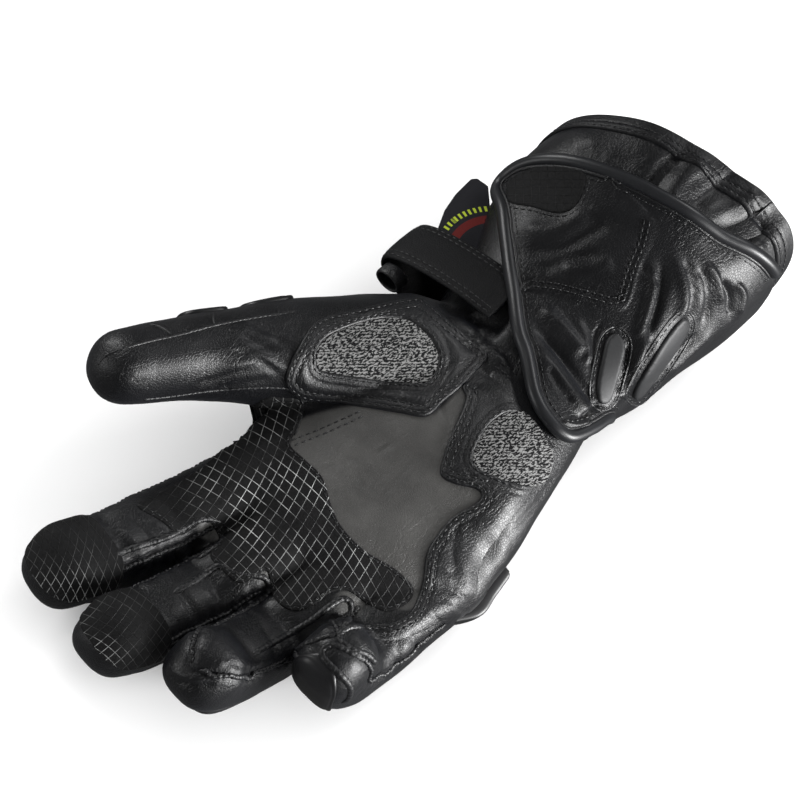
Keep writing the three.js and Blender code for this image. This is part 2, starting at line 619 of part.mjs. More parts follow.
// Edge of the flap that carries the piping: down its free side, then round the low corner.
function pipingCurve() {
  const lift = SHEET_GAP + PIPING_RADIUS;
  const free = fineRows(FLAP_ROWS, PIPING_POINTS_PER_ROW).reverse().map((row) => [row.to, row.y]);
  const low = fineRows(FLAP_ROWS.slice(0, FLAP_CORNER_ROWS), 1).map((row) => [row.from, row.y]);
  const places = [...free, ...low].map(([turn, y]) => bodyPoint(turn, y, lift));
  return new THREE.CatmullRomCurve3(places, false, "centripetal");
}

// Flat band with rounded turns, seen along the glove, of one thickness and width.
function strapSolid(from, width, thick) {
  const route = new THREE.CatmullRomCurve3(STRAP_ROUTE.map(
    (row) => new THREE.Vector3(row.side * HAND_WIDTH, row.high * HAND_THICKNESS, 0),
  ), false, "centripetal");
  const outside = [];
  const inside = [];
  for (let i = 0; i <= STRAP_STEPS; i += 1) {
    const place = route.getPointAt(i / STRAP_STEPS);
    const along = route.getTangentAt(i / STRAP_STEPS);
    const normal = new THREE.Vector2(-along.y, along.x).multiplyScalar(thick / 2);
    outside.push(new THREE.Vector2(place.x + normal.x, place.y + normal.y));
    inside.unshift(new THREE.Vector2(place.x - normal.x, place.y - normal.y));
  }
  return alongGlove(new THREE.Shape([...outside, ...inside]), from, width);
}

// Shape drawn in x and z, pushed along y from one place.
function alongGlove(shape, from, width) {
  const geometry = new THREE.ExtrudeGeometry(shape, { depth: width, bevelEnabled: false, curveSegments: 8 });
  geometry.applyMatrix4(new THREE.Matrix4().makeBasis(
    new THREE.Vector3(1, 0, 0),
    new THREE.Vector3(0, 0, 1),
    new THREE.Vector3(0, -1, 0),
  ));
  geometry.translate(0, from + width, 0);
  return solidFromGeometry(geometry);
}

function keeperSolid(from) {
  const middle = new THREE.Vector2(KEEPER_PLACE.side * HAND_WIDTH, KEEPER_PLACE.high * HAND_THICKNESS);
  const ring = new THREE.Shape();
  ring.absellipse(middle.x, middle.y, KEEPER_RADIUS, 0.75 * KEEPER_RADIUS, 0, 2 * Math.PI);
  const hole = new THREE.Path();
  hole.absellipse(middle.x, middle.y, KEEPER_RADIUS - KEEPER, 0.75 * KEEPER_RADIUS - KEEPER, 0, 2 * Math.PI);
  ring.holes.push(hole);
  return alongGlove(ring, from, KEEPER_WIDTH);
}

// Materials
const leather = new THREE.MeshStandardMaterial({ color: 0x1d1e22, roughness: 0.5 });
const palmSuede = new THREE.MeshStandardMaterial({ color: 0x3a3835, roughness: 0.8 });
const gripRubber = new THREE.MeshStandardMaterial({ color: 0x141517, roughness: 0.6 });
const knit = new THREE.MeshStandardMaterial({ color: 0x77777a, roughness: 0.9 });
const pipingRubber = new THREE.MeshStandardMaterial({ color: 0x2a2b2f, roughness: 0.4 });
const guardMaterial = new THREE.MeshStandardMaterial({ color: 0x101114, roughness: 0.3 });
const wovenLabel = new THREE.MeshStandardMaterial({ color: 0x33343a, roughness: 0.9 });

const glove = new THREE.Group();
function addPiece(name, solid, material) {
  const mesh = solid.simplify(FLATNESS).getMesh();
  const geometry = new THREE.BufferGeometry();
  geometry.setAttribute("position", new THREE.BufferAttribute(new Float32Array(mesh.vertProperties), 3));
  geometry.setIndex(new THREE.BufferAttribute(new Uint32Array(mesh.triVerts), 1));
  const piece = new THREE.Mesh(geometry, material);
  piece.name = name;
  glove.add(piece);
}

// Where a finger's own tube is sewn on, beyond its root: a share of the whole length for the thumb, whose
// root is long, and of the first bone for the others.
function fingerSeam(finger) {
  const line = fingerLine(finger);
  return finger.name === "thumb" ? THUMB_SEAM * line.end : FINGER_SEAM * line.joints[1];
}
// Hand: palm, back and the roots of thumb and fingers as one hollow leather shell, open at the wrist.
function handShell() {
  let outside = bodySolid(HAND_STATIONS, 0);
  let inside = bodySolid(HAND_STATIONS, -WALL, HEM_DEPTH);
  for (const finger of ALL_FINGERS) {
    outside = outside.add(fingerSolid(finger, 0));
    inside = inside.add(fingerSolid(finger, -WALL));
  }
  let shell = outside.subtract(inside);
  for (const finger of ALL_FINGERS) shell = shell.subtract(fingerSolid(finger, GAP, fingerSeam(finger) - GAP));
  return largestPiece(shell);
}
// Hollow end of a finger, open towards the hand and clear of the fingers listed before it.
function fingerTube(finger, index) {
  const seam = fingerSeam(finger);
  let tube = fingerSolid(finger, 0, seam).subtract(fingerSolid(finger, -WALL, seam - WALL));
  for (const other of FINGERS.slice(0, index)) tube = tube.subtract(fingerSolid(other, GAP, fingerSeam(other) - GAP));
  return largestPiece(tube);
}
// Ring of the cuff through stations, open at both ends.
function cuffRing(stations, extra) {
  const before = stations[0] - HEM_DEPTH;
  return bodySolid(stations, extra).subtract(bodySolid([before, ...stations], -WALL - extra, HEM_DEPTH));
}

addPiece("hand_shell", handShell(), palmSuede);
FINGERS.forEach((finger, index) => addPiece(`${finger.name}_finger`, fingerTube(finger, index), leather));
addPiece("thumb_tube", fingerTube(THUMB, 0), leather);
addPiece("gauntlet_cuff", cuffRing(CUFF_STATIONS, 0), leather);
addPiece("cuff_hem", cuffRing(HEM_STATIONS, HEM_EXTRA), leather);

// Palm panels
const knitWindow = uprightPrism(roundedPoints(widerPoints(palmPoints(THUMB_KNIT_PATCH), 2 * GAP), PATCH_POINTS), 0, CUFF_HEIGHT);
const heelWindow = uprightPrism(roundedPoints(widerPoints(palmPoints(HEEL_KNIT_PATCH), 2 * GAP), PATCH_POINTS), 0, CUFF_HEIGHT);
const piping = pipingCurve();
const pipingRoom = cord(piping, PIPING_RADIUS + 2 * GAP, PIPING_ROOM_SIDES);
const onLeather = grownForm(GAP);
addPiece("thumb_heel_panel", palmPanel(palmPoints(THUMB_HEEL_PANEL)).subtract(knitWindow), leather);
addPiece("thumb_knit_patch", palmPanel(roundedPoints(palmPoints(THUMB_KNIT_PATCH), PATCH_POINTS)), knit);
addPiece("outer_side_panel", palmPanel(palmPoints(OUTER_SIDE_PANEL)).subtract(heelWindow).subtract(pipingRoom), leather);
addPiece("heel_knit_patch", palmPanel(roundedPoints(palmPoints(HEEL_KNIT_PATCH), PATCH_POINTS)), knit);
addPiece("grip_patch", palmPanel(palmPoints(GRIP_PATCH)), gripRubber);
addPiece(
  "knuckle_guard",
  layerPiece(uprightPrism(palmPoints(KNUCKLE_GUARD), -GUARD, GUARD_LEVEL * HAND_THICKNESS), GUARD),
  guardMaterial,
);
for (const row of FINGER_PIECES) {
  addPiece(row.node, fingerPiece(row), row.face > 0 ? gripRubber : guardMaterial);
}

// Closing flap, its piping and what is sewn on it
const flapTop = SHEET_GAP + FLAP;
const flapSheet = cuffSheet(FLAP_ROWS, SHEET_GAP, flapTop, FLAP_COLUMNS);
const flap = largestPiece(flapSheet.subtract(pipingRoom).subtract(onLeather));
addPiece("cuff_flap", flap, leather);
addPiece("flap_piping", largestPiece(cord(piping, PIPING_RADIUS, PIPING_SIDES).subtract(onLeather)), pipingRubber);
addPiece(
  "flap_corner_patch",
  cuffSheet(CORNER_PATCH_ROWS, flapTop + SHEET_GAP, flapTop + SHEET_GAP + PANEL, TRIM_COLUMNS),
  gripRubber,
);
RIB_ROWS.forEach((rows, index) => {
  addPiece(`flap_rib_${index + 1}`, cuffSheet(rows, flapTop + SHEET_GAP, flapTop + SHEET_GAP + RIB, TRIM_COLUMNS), leather);
});

// Wrist strap, its keeper loop and the label beside it
const strapFrom = STRAP_START * HAND_LENGTH;
const flapRoom = cuffSheet(FLAP_ROWS, 0, flapTop + GAP, FLAP_COLUMNS).add(pipingRoom);
const strap = strapSolid(strapFrom, STRAP_WIDTH, STRAP).subtract(onLeather).subtract(flapRoom);
addPiece("wrist_strap", largestPiece(strap), leather);
addPiece("strap_keeper", keeperSolid(strapFrom - GAP - KEEPER_WIDTH), leather);
const labelFlat = LABEL_OUTLINE.map(
  (row) => new THREE.Vector2(row.side * CUFF_WIDTH, HAND_LENGTH + row.along * CUFF_LENGTH),
);
const labelLow = LABEL_HIGH * CUFF_HEIGHT;
const label = uprightPrism(labelFlat, labelLow, labelLow + LABEL).subtract(onLeather).subtract(flapRoom);
addPiece("label_tag", largestPiece(label), wovenLabel);

// The origin goes under the middle of the whole glove.
const box = new THREE.Box3().setFromObject(glove);
const boxMiddle = box.getCenter(new THREE.Vector3());
glove.position.set(-boxMiddle.x, -boxMiddle.y, -box.min.z);
glove.updateMatrixWorld(true);

export default glove;
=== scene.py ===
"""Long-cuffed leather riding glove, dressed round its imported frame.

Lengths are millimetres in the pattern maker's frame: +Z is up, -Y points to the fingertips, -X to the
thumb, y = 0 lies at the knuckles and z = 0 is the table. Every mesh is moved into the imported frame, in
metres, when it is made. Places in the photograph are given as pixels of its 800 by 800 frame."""

import bmesh
import bpy
import numpy as np
from mathutils import Matrix, Vector
from mathutils.geometry import delaunay_2d_cdt


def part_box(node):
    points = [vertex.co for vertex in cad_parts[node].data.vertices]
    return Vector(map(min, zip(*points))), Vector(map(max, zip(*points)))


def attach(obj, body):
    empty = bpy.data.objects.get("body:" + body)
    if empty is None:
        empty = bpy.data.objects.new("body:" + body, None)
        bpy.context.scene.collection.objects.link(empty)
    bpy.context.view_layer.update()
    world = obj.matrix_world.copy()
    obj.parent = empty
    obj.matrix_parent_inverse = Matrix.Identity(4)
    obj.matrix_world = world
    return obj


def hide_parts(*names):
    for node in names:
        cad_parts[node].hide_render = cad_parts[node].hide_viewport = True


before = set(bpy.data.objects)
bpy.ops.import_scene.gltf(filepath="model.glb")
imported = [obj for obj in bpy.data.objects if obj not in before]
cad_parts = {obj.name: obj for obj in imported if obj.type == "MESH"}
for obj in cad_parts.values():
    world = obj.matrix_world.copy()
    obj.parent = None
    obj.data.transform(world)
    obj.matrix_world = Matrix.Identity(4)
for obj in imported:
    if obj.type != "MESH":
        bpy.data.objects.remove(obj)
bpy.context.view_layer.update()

# Driving sizes
HAND_LENGTH = 100
HAND_WIDTH = 100
HAND_THICKNESS = 40
CUFF_LENGTH = 90
CUFF_WIDTH = 96
FINGER_LENGTH = 100
FINGER_WIDTH = 25
FINGER_THICKNESS = 28
THUMB_LENGTH = 124
THUMB_WIDTH = 30
WALL = 1.8
PANEL_TOP = 1.4
PANEL_WALL = 0.9
FLAP_UNDER = 0.9
FLAP_TOP = 2.9
PIPING_RADIUS = 2.1
PIPING_SHOWN = 2.5
STRAP_START = 87
STRAP_WIDTH = 22
STRAP = 2.2
LABEL_HIGH = 42.1
LABEL = 1.0
BODY_SQUARENESS = 2.5
FINGER_SQUARENESS = 2.9
THUMB_SQUARENESS = 2.4

# The label's outer corner is known in both frames, which gives the way from one to the other.
LABEL_LEFT = -0.645 * CUFF_WIDTH
LABEL_BACK = HAND_LENGTH + 0.41 * CUFF_LENGTH
MILLIMETRE = 0.001
label_low, label_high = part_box("label_tag")
SHIFT = np.array([
    label_low[0] / MILLIMETRE - LABEL_LEFT,
    label_high[1] / MILLIMETRE - LABEL_BACK,
    0.0,
])

# Sections of the hand and cuff. Columns: y, side, half width, low, high, slant.
BODY = np.array([
    (-24, -1, 28, 16, 28, 0), (-21, -1, 38, 11.2, 33.2, 0), (-13, 0, 45, 6.4, 37.2, 0),
    (0, 2, 50, 3.6, 40, 0), (20, 2, 49, 3.6, 43.2, 0), (45, 2, 46, 4, 50, 0),
    (70, 1, 41, 5.6, 52, 0), (92, 0, 37, 8, 52.8, 0), (107.2, -1.92, 36.96, 6.48, 55.08, 0.02),
    (124.3, -3.84, 40.99, 2.43, 59.94, 0.08), (145, -5.76, 45.12, -0.81, 68.04, 0.15),
    (164.8, -5.76, 48, -1.62, 76.14, 0.22), (190, -5.76, 48, -1.62, 81, 0.30),
], float)
# Broad folds. Columns: share of the cuff behind the wrist, turn, lean, wide, long, rise.
FOLDS = (
    (-0.18, 120, 20, 0.10, 0.26, -0.030), (-0.04, 112, 25, 0.10, 0.24, 0.020),
    (0.45, 20, 60, 0.11, 0.30, -0.032), (0.33, 48, 62, 0.10, 0.26, 0.018),
    (0.84, 66, 55, 0.11, 0.22, -0.034), (0.88, 96, 50, 0.11, 0.22, 0.024),
    (0.52, 118, 10, 0.12, 0.30, -0.018),
)
FINGERS = {
    "index": dict(root=(-0.32, -0.01, 0.53), spread=14, bends=(-4, 11, 14),
                  bones=(0.44, 0.27, 0.29), girth=1.04),
    "middle": dict(root=(-0.07, -0.06, 0.52), spread=10, bends=(-4, 17, 20),
                   bones=(0.48, 0.29, 0.25), girth=1.0),
    "ring": dict(root=(0.17, -0.03, 0.49), spread=7, bends=(-4, 28, 24), bones=(0.45, 0.28, 0.22), girth=1.0),
    "pinky": dict(root=(0.38, 0.06, 0.47), spread=2, bends=(0, 42, 40), bones=(0.36, 0.20, 0.22), girth=0.97),
    "thumb": dict(root=(-0.26, 0.66, 0.825), spread=38.5, lift=8, roll=-80, bends=(0, 5, 8),
                  bones=(0.37, 0.31, 0.32), girth=1.0),
}
# Finger girth at the root, second joint, third joint and tip: half width, half thickness.
FINGER_GIRTH = np.array([(1.03, 1.07), (1.02, 1.02), (1.00, 0.98), (0.97, 0.93)])
# Thumb girth. Columns: share of its length, half width, palm side, back.
THUMB_GIRTH = np.array([
    (-0.16, 1.33, 1.33, 1.33), (0, 1.47, 1.47, 1.67), (0.24, 1.33, 1.27, 1.53), (0.37, 1.20, 1.13, 1.40),
    (0.53, 1.07, 0.97, 1.13), (0.68, 0.97, 0.87, 1.00), (0.85, 0.88, 0.80, 0.87), (1.0, 0.80, 0.77, 0.80),
])
# Flap. Columns: share of the cuff behind the wrist, degrees from, degrees to.
FLAP_ROWS = np.array([
    (-0.28, 52, 66), (-0.24, 40, 76), (-0.11, 26, 92), (0.02, 12, 106), (0.12, -14, 118), (0.24, -20, 130),
    (0.36, -20, 142), (0.46, -20, 156), (0.54, -20, 161), (0.61, -20, 152), (0.65, -20, 128),
    (0.68, -20, 96), (0.72, -20, 66), (0.80, -20, 38), (0.86, -20, 16),
])
FLAP_CORNER_ROWS = 5

# The photograph's camera: where it stands, its axes and its focal length in pixels
LOOK_AT = np.array([0.0, 80.0, 30.0])
DISTANCE = 1100.0
PIXELS_PER_MM = 2.78
VIEW_TURN = np.radians(17)
VIEW_RISE = np.radians(55)
VIEW_ROLL = np.radians(28)
PHOTO_MIDDLE = 400
LENS_MIDDLE = (487, 394)
SENSOR = 36.0


# Numbers and vectors

def smooth_step(t):
    """3t^2 - 2t^3 with t held between 0 and 1."""
    c = np.clip(t, 0, 1)
    return c * c * (3 - 2 * c)


def bulge(v, squareness):
    """Sign of v times its size to the power 2 / squareness: the coordinate of a squared circle."""
    return np.sign(v) * np.abs(v) ** (2 / squareness)


def unit(v):
    """Each vector divided by its length."""
    return v / np.maximum(np.linalg.norm(v, axis=-1, keepdims=True), 1e-9)


def bell(distance, width):
    """Height of a soft ridge: e to the power -(distance / width)^2."""
    return np.exp(-((distance / width) ** 2))


def smooth_path(points, step, closed=False):
    """Catmull-Rom curve through the points, read off again at even steps of arc length."""
    p = np.asarray(points, float)
    if closed:
        p = np.vstack([p[-1:], p, p[:2]])
    else:
        p = np.vstack([2 * p[:1] - p[1:2], p, 2 * p[-1:] - p[-2:-1]])
    t = np.linspace(0, 1, 24, endpoint=False)[:, None, None]
    a, b, c, d = p[:-3], p[1:-2], p[2:-1], p[3:]
    curve = 0.5 * (2 * b + (c - a) * t + (2 * a - 5 * b + 4 * c - d) * t ** 2
                   + (3 * b - a - 3 * c + d) * t ** 3)
    curve = curve.transpose(1, 0, 2).reshape(-1, p.shape[1])
    curve = np.vstack([curve, p[-2:-1]])
    return even_path(curve, step, closed)


def even_path(curve, step, closed=False):
    """Points at even steps of arc length along a fine line."""
    length = np.concatenate([[0], np.cumsum(np.linalg.norm(np.diff(curve, axis=0), axis=1))])
    count = max(int(round(length[-1] / step)), 3)
    where = np.linspace(0, length[-1], count + 1)
    if closed:
        where = where[:-1]
    return np.stack([np.interp(where, length, curve[:, k]) for k in range(curve.shape[1])], -1)


def to_path(points, path, closed=False):
    """Distance from each flat point to a line of short segments, and how far along the nearest place is."""
    ends = np.vstack([path, path[:1]]) if closed else path
    a = ends[:-1]
    run = ends[1:] - a
    size = np.maximum((run ** 2).sum(1), 1e-12)
    best = np.full(len(points), 1e18)
    along = np.zeros(len(points))
    for start in range(0, len(points), 20000):
        p = points[start:start + 20000]
        t = np.clip((p @ run.T - (a * run).sum(1)) / size, 0, 1)
        gap = ((p[:, None, :] - a - t[..., None] * run) ** 2).sum(-1)
        k = gap.argmin(1)
        rows = np.arange(len(p))
        best[start:start + 20000] = gap[rows, k]
        along[start:start + 20000] = (k + t[rows, k]) / len(a)
    return np.sqrt(best), along


def inside(points, outline):
    """Whether each flat point lies in a closed outline, by counting the edges to its right."""
    a = outline
    b = np.roll(outline, -1, 0)
    x, y = points[:, :1], points[:, 1:]
    across = (a[:, 1] > y) != (b[:, 1] > y)
    rise = np.where(np.abs(b[:, 1] - a[:, 1]) < 1e-9, 1e-9, b[:, 1] - a[:, 1])
    return ((x < a[:, 0] + (y - a[:, 1]) / rise * (b[:, 0] - a[:, 0])) & across).sum(1) % 2 == 1


# Forms shared with the part's own tables

def column_at(y, key):
    """A column of the body's table at y: a cubic between rows, with slopes taken over both neighbours."""
    rows, values = BODY[:, 0], BODY[:, key]
    last = len(rows) - 1
    i = np.clip(np.searchsorted(rows, y, side="left") - 1, 0, last - 1)
    low = np.maximum(np.arange(last + 1) - 1, 0)
    high = np.minimum(np.arange(last + 1) + 1, last)
    slope = (values[high] - values[low]) / (rows[high] - rows[low])
    run = rows[i + 1] - rows[i]
    t = np.clip((y - rows[i]) / run, 0, 1)
    t2, t3 = t ** 2, t ** 3
    return ((2 * t3 - 3 * t2 + 1) * values[i] + (t3 - 2 * t2 + t) * run * slope[i]
            + (3 * t2 - 2 * t3) * values[i + 1] + (t3 - t2) * run * slope[i + 1])


def fold_height(turn, y):
    """Sum over the folds of rise times e to the power -(across^2 + along^2), each over its own reach."""
    height = np.zeros(np.broadcast(turn, y).shape)
    for along_share, at, lean, wide, long, rise in FOLDS:
        across = turn - np.radians(at)
        across = np.arctan2(np.sin(across), np.cos(across)) * CUFF_WIDTH / 2
        along = y - HAND_LENGTH - along_share * CUFF_LENGTH
        c, s = np.cos(np.radians(lean)), np.sin(np.radians(lean))
        p = (across * c + along * s) / (long * CUFF_WIDTH)
        q = (along * c - across * s) / (wide * CUFF_WIDTH)
        height += rise * CUFF_WIDTH * np.exp(-p ** 2 - q ** 2)
    return height


def body_point(turn, y, grow):
    """Point of the hand or cuff: a squared ellipse at y, leaning back with x, bowed at the knuckles."""
    side, half, low, high, slant = (column_at(y, key) for key in range(1, 6))
    lift = grow + fold_height(turn, y)
    x = side + (half + lift) * bulge(np.cos(turn), BODY_SQUARENESS)
    z = (low + high) / 2 + ((high - low) / 2 + lift) * bulge(np.sin(turn), BODY_SQUARENESS)
    bow = 9 * ((x / HAND_WIDTH + 0.08) / 0.4) ** 2 * (1 - smooth_step((y + 24) / 70))
    return np.stack([x, y + slant * x + bow, np.maximum(z, np.maximum(0, -grow))], -1)


def finger_frame(name):
    """Forward, palm and side directions of a finger, from its spread, lift and roll."""
    finger = FINGERS[name]
    spread, lift, roll = (np.radians(finger.get(key, 0)) for key in ("spread", "lift", "roll"))
    forward = np.array([-np.sin(spread) * np.cos(lift), -np.cos(spread) * np.cos(lift), np.sin(lift)])
    up = unit(np.array([0, 0, 1.0]) - forward * forward[2])
    palm = np.cos(roll) * up + np.sin(roll) * np.cross(forward, up)
    return forward, palm, np.cross(forward, palm)


def finger_end(name):
    """Length of the finger's middle line."""
    return sum(FINGERS[name]["bones"]) * (THUMB_LENGTH if name == "thumb" else FINGER_LENGTH)


def finger_line(name, s):
    """Place, palm normal and side of the middle line at s: its turn grows smoothly at each joint."""
    finger = FINGERS[name]
    length = THUMB_LENGTH if name == "thumb" else FINGER_LENGTH
    forward, palm, side = finger_frame(name)
    joints = np.array([0, finger["bones"][0], finger["bones"][0] + finger["bones"][1]]) * length
    fine = np.linspace(-60, finger_end(name) + 20, 900)
    bends = zip(np.radians(finger["bends"]), joints)
    turn = sum(bend * smooth_step((fine - joint) / 16 + 0.5) for bend, joint in bends)
    way = np.cos(turn)[:, None] * forward + np.sin(turn)[:, None] * palm
    step = fine[1] - fine[0]
    place = np.vstack([np.zeros(3), np.cumsum((way[1:] + way[:-1]) / 2 * step, 0)])
    root = np.array(finger["root"]) * (HAND_WIDTH, HAND_LENGTH, HAND_THICKNESS)
    at_root = np.stack([np.interp(0, fine, place[:, k]) for k in range(3)])
    place = place - at_root + root
    angle = np.interp(s, fine, turn)
    spot = np.stack([np.interp(s, fine, place[:, k]) for k in range(3)], -1)
    normal = np.cos(angle)[..., None] * palm - np.sin(angle)[..., None] * forward
    return spot, normal, side, joints


def finger_point(name, s, angle, grow):
    """Point of a finger: a squared ellipse round its middle line, closing to a round tip.
    The angle is 0 on the thumb's side and 90 degrees on the palm side."""
    end = finger_end(name)
    spot, normal, side, joints = finger_line(name, s)
    if name == "thumb":
        stops = THUMB_GIRTH[:, 0] * THUMB_LENGTH
        wide, over, under = (np.interp(s, stops, THUMB_GIRTH[:, k]) * THUMB_WIDTH / 2 for k in (1, 2, 3))
        tip_wide, tip_over = THUMB_GIRTH[-1, 1] * THUMB_WIDTH / 2, THUMB_GIRTH[-1, 2] * THUMB_WIDTH / 2
        squareness = THUMB_SQUARENESS
    else:
        girth = FINGERS[name]["girth"]
        stops = np.append(joints, end)
        wide = np.interp(s, stops, FINGER_GIRTH[:, 0]) * FINGER_WIDTH / 2 * girth
        under = np.interp(s, stops, FINGER_GIRTH[:, 1]) * FINGER_THICKNESS / 2 * girth
        over = under * (1 - 0.08 * (bell(s - joints[1], 4) + bell(s - joints[2], 4)))
        tip_wide = FINGER_GIRTH[-1, 0] * FINGER_WIDTH / 2 * girth
        tip_over = FINGER_GIRTH[-1, 1] * FINGER_THICKNESS / 2 * girth
        squareness = FINGER_SQUARENESS
    cap = min(tip_wide, tip_over) * 1.05 + grow
    in_cap = np.clip((s - (end + grow - cap)) / cap, 0, 1)
    close = np.sqrt(np.maximum(1 - in_cap ** 2.2, 1e-5))
    across = bulge(np.cos(angle), squareness) * (wide + grow) * close
    tall = bulge(np.sin(angle), squareness) * (np.where(np.sin(angle) > 0, over, under) + grow) * close
    return spot + across[..., None] * side + tall[..., None] * normal


# The photograph's view

def view_axes():
    """Right, up and back directions of the photograph's camera."""
    back = np.array([
        np.sin(VIEW_TURN) * np.cos(VIEW_RISE), -np.cos(VIEW_TURN) * np.cos(VIEW_RISE), np.sin(VIEW_RISE),
    ])
    level = np.array([np.cos(VIEW_TURN), np.sin(VIEW_TURN), 0])
    upright = np.cross(back, level)
    right = np.cos(VIEW_ROLL) * level + np.sin(VIEW_ROLL) * upright
    up = np.cos(VIEW_ROLL) * upright - np.sin(VIEW_ROLL) * level
    return right, up, back


RIGHT, UP, BACK = view_axes()
CAMERA_PLACE = LOOK_AT + DISTANCE * BACK


def to_photo(points):
    """Pixel across, pixel down and minus the depth of each point, by a pinhole projection."""
    q = points - LOOK_AT
    depth = DISTANCE - q @ BACK
    k = PIXELS_PER_MM * DISTANCE / depth
    return np.stack([LENS_MIDDLE[0] + k * (q @ RIGHT), LENS_MIDDLE[1] - k * (q @ UP), -depth], -1)


def from_photo(seen):
    """The point at a pixel and a depth: the projection turned round."""
    depth = -seen[..., 2:3]
    k = PIXELS_PER_MM * DISTANCE / depth
    across = (seen[..., 0:1] - LENS_MIDDLE[0]) / k
    down = (seen[..., 1:2] - LENS_MIDDLE[1]) / k
    return LOOK_AT + across * RIGHT - down * UP + (DISTANCE - depth) * BACK


# Meshes from arrays

def grid_faces(rows, columns, wrap=False):
    """Four corners of every cell of a grid, the last column joined to the first where it wraps."""
    index = np.arange(rows * columns).reshape(rows, columns)
    if wrap:
        index = np.hstack([index, index[:, :1]])
    return np.stack([index[:-1, :-1], index[:-1, 1:], index[1:, 1:], index[1:, :-1]], -1).reshape(-1, 4)


def shell_points(outer, inner):
    """The points of an outer grid, then those of the inner grid that follows it."""
    return np.vstack([outer.reshape(-1, 3), inner.reshape(-1, 3)])


def shell_faces(rows, columns, wrap=False):
    """Faces of an outer grid, an inner grid that follows it, and the rim between them."""
    outer = grid_faces(rows, columns, wrap)
    count = rows * columns
    index = np.arange(count).reshape(rows, columns)
    if wrap:
        loops = [np.append(index[0], index[0, 0]), np.append(index[-1], index[-1, 0])[::-1]]
    else:
        loops = [np.concatenate([index[0], index[1:, -1], index[-1, -2::-1], index[-2::-1, 0]])]
    rims = [np.stack([loop[:-1], loop[:-1] + count, loop[1:] + count, loop[1:]], -1) for loop in loops]
    return np.vstack([outer, outer[:, ::-1] + count] + rims)


def volume(points, faces):
    """Signed volume of the faces, as a fan of triangles from the middle."""
    p = points - points.mean(0)
    a = p[faces[:, 0]]
    total = 0
    for k in range(1, faces.shape[1] - 1):
        total += (a * np.cross(p[faces[:, k]], p[faces[:, k + 1]])).sum()
    return total


def make_mesh(name, points, faces, scale=1.0, shift=(0, 0, 0)):
    """A mesh of equal-sided faces, set from whole arrays."""
    mesh = bpy.data.meshes.new(name)
    corners = faces.shape[1]
    mesh.vertices.add(len(points))
    mesh.vertices.foreach_set("co", ((points + np.array(shift)) * scale).astype(np.float32).ravel())
    mesh.loops.add(faces.size)
    mesh.loops.foreach_set("vertex_index", faces.astype(np.int32).ravel())
    mesh.polygons.add(len(faces))
    mesh.polygons.foreach_set("loop_start", np.arange(0, faces.size, corners, dtype=np.int32))
    mesh.update(calc_edges=True)
    mesh.validate()
    mesh.polygons.foreach_set("use_smooth", np.ones(len(mesh.polygons), bool))
    return mesh


def add_object(name, mesh):
    """The mesh as a linked object at the origin."""
    thing = bpy.data.objects.new(name, mesh)
    bpy.context.scene.collection.objects.link(thing)
    return thing


def set_uv(mesh, uv):
    """One flat coordinate for each vertex, copied to the corners that use it."""
    layer = mesh.uv_layers.new(name="pattern")
    corner = np.empty(len(mesh.loops), np.int32)
    mesh.loops.foreach_get("vertex_index", corner)
    layer.data.foreach_set("uv", uv[corner].astype(np.float32).ravel())


def set_number(mesh, name, values):
    """One number for each vertex under an attribute's name."""
    mesh.attributes.new(name, "FLOAT", "POINT").data.foreach_set("value", values.astype(np.float32))


def piece(name, points, faces, material, nodes=(), uv=None, closed=True):
    """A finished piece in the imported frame: faces turned outwards, on its body, with its finish."""
    if closed and volume(points, faces) < 0:
        faces = faces[:, ::-1]
    mesh = make_mesh(name, points, faces, MILLIMETRE, SHIFT)
    if uv is not None:
        set_uv(mesh, uv)
    thing = add_object(name, mesh)
    dress(thing, material, nodes)
    return thing


def dress(thing, material, nodes=()):
    """Material, body and the CAD nodes that the piece stands for."""
    thing.data.materials.append(material)
    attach(thing, "root")
    if nodes:
        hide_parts(*nodes)


def thicken(thing, thickness):
    """Gives a surface its wall, inwards from the face that shows."""
    wall = thing.modifiers.new("wall", "SOLIDIFY")
    wall.thickness = thickness * MILLIMETRE
    wall.offset = -1


def mesh_arrays(mesh):
    """Vertices and their normals as arrays."""
    points = np.empty(len(mesh.vertices) * 3)
    mesh.vertices.foreach_get("co", points)
    normals = np.empty(len(mesh.vertices) * 3)
    mesh.vertices.foreach_get("normal", normals)
    return points.reshape(-1, 3), normals.reshape(-1, 3)


def grid_normals(grid, wrap=False):
    """Cross product of the differences along both ways of a grid of points."""
    if wrap:
        around = np.roll(grid, -1, 1) - np.roll(grid, 1, 1)
    else:
        around = np.gradient(grid, axis=1)
    return unit(np.cross(around, np.gradient(grid, axis=0)))


# Surfaces that carry other pieces

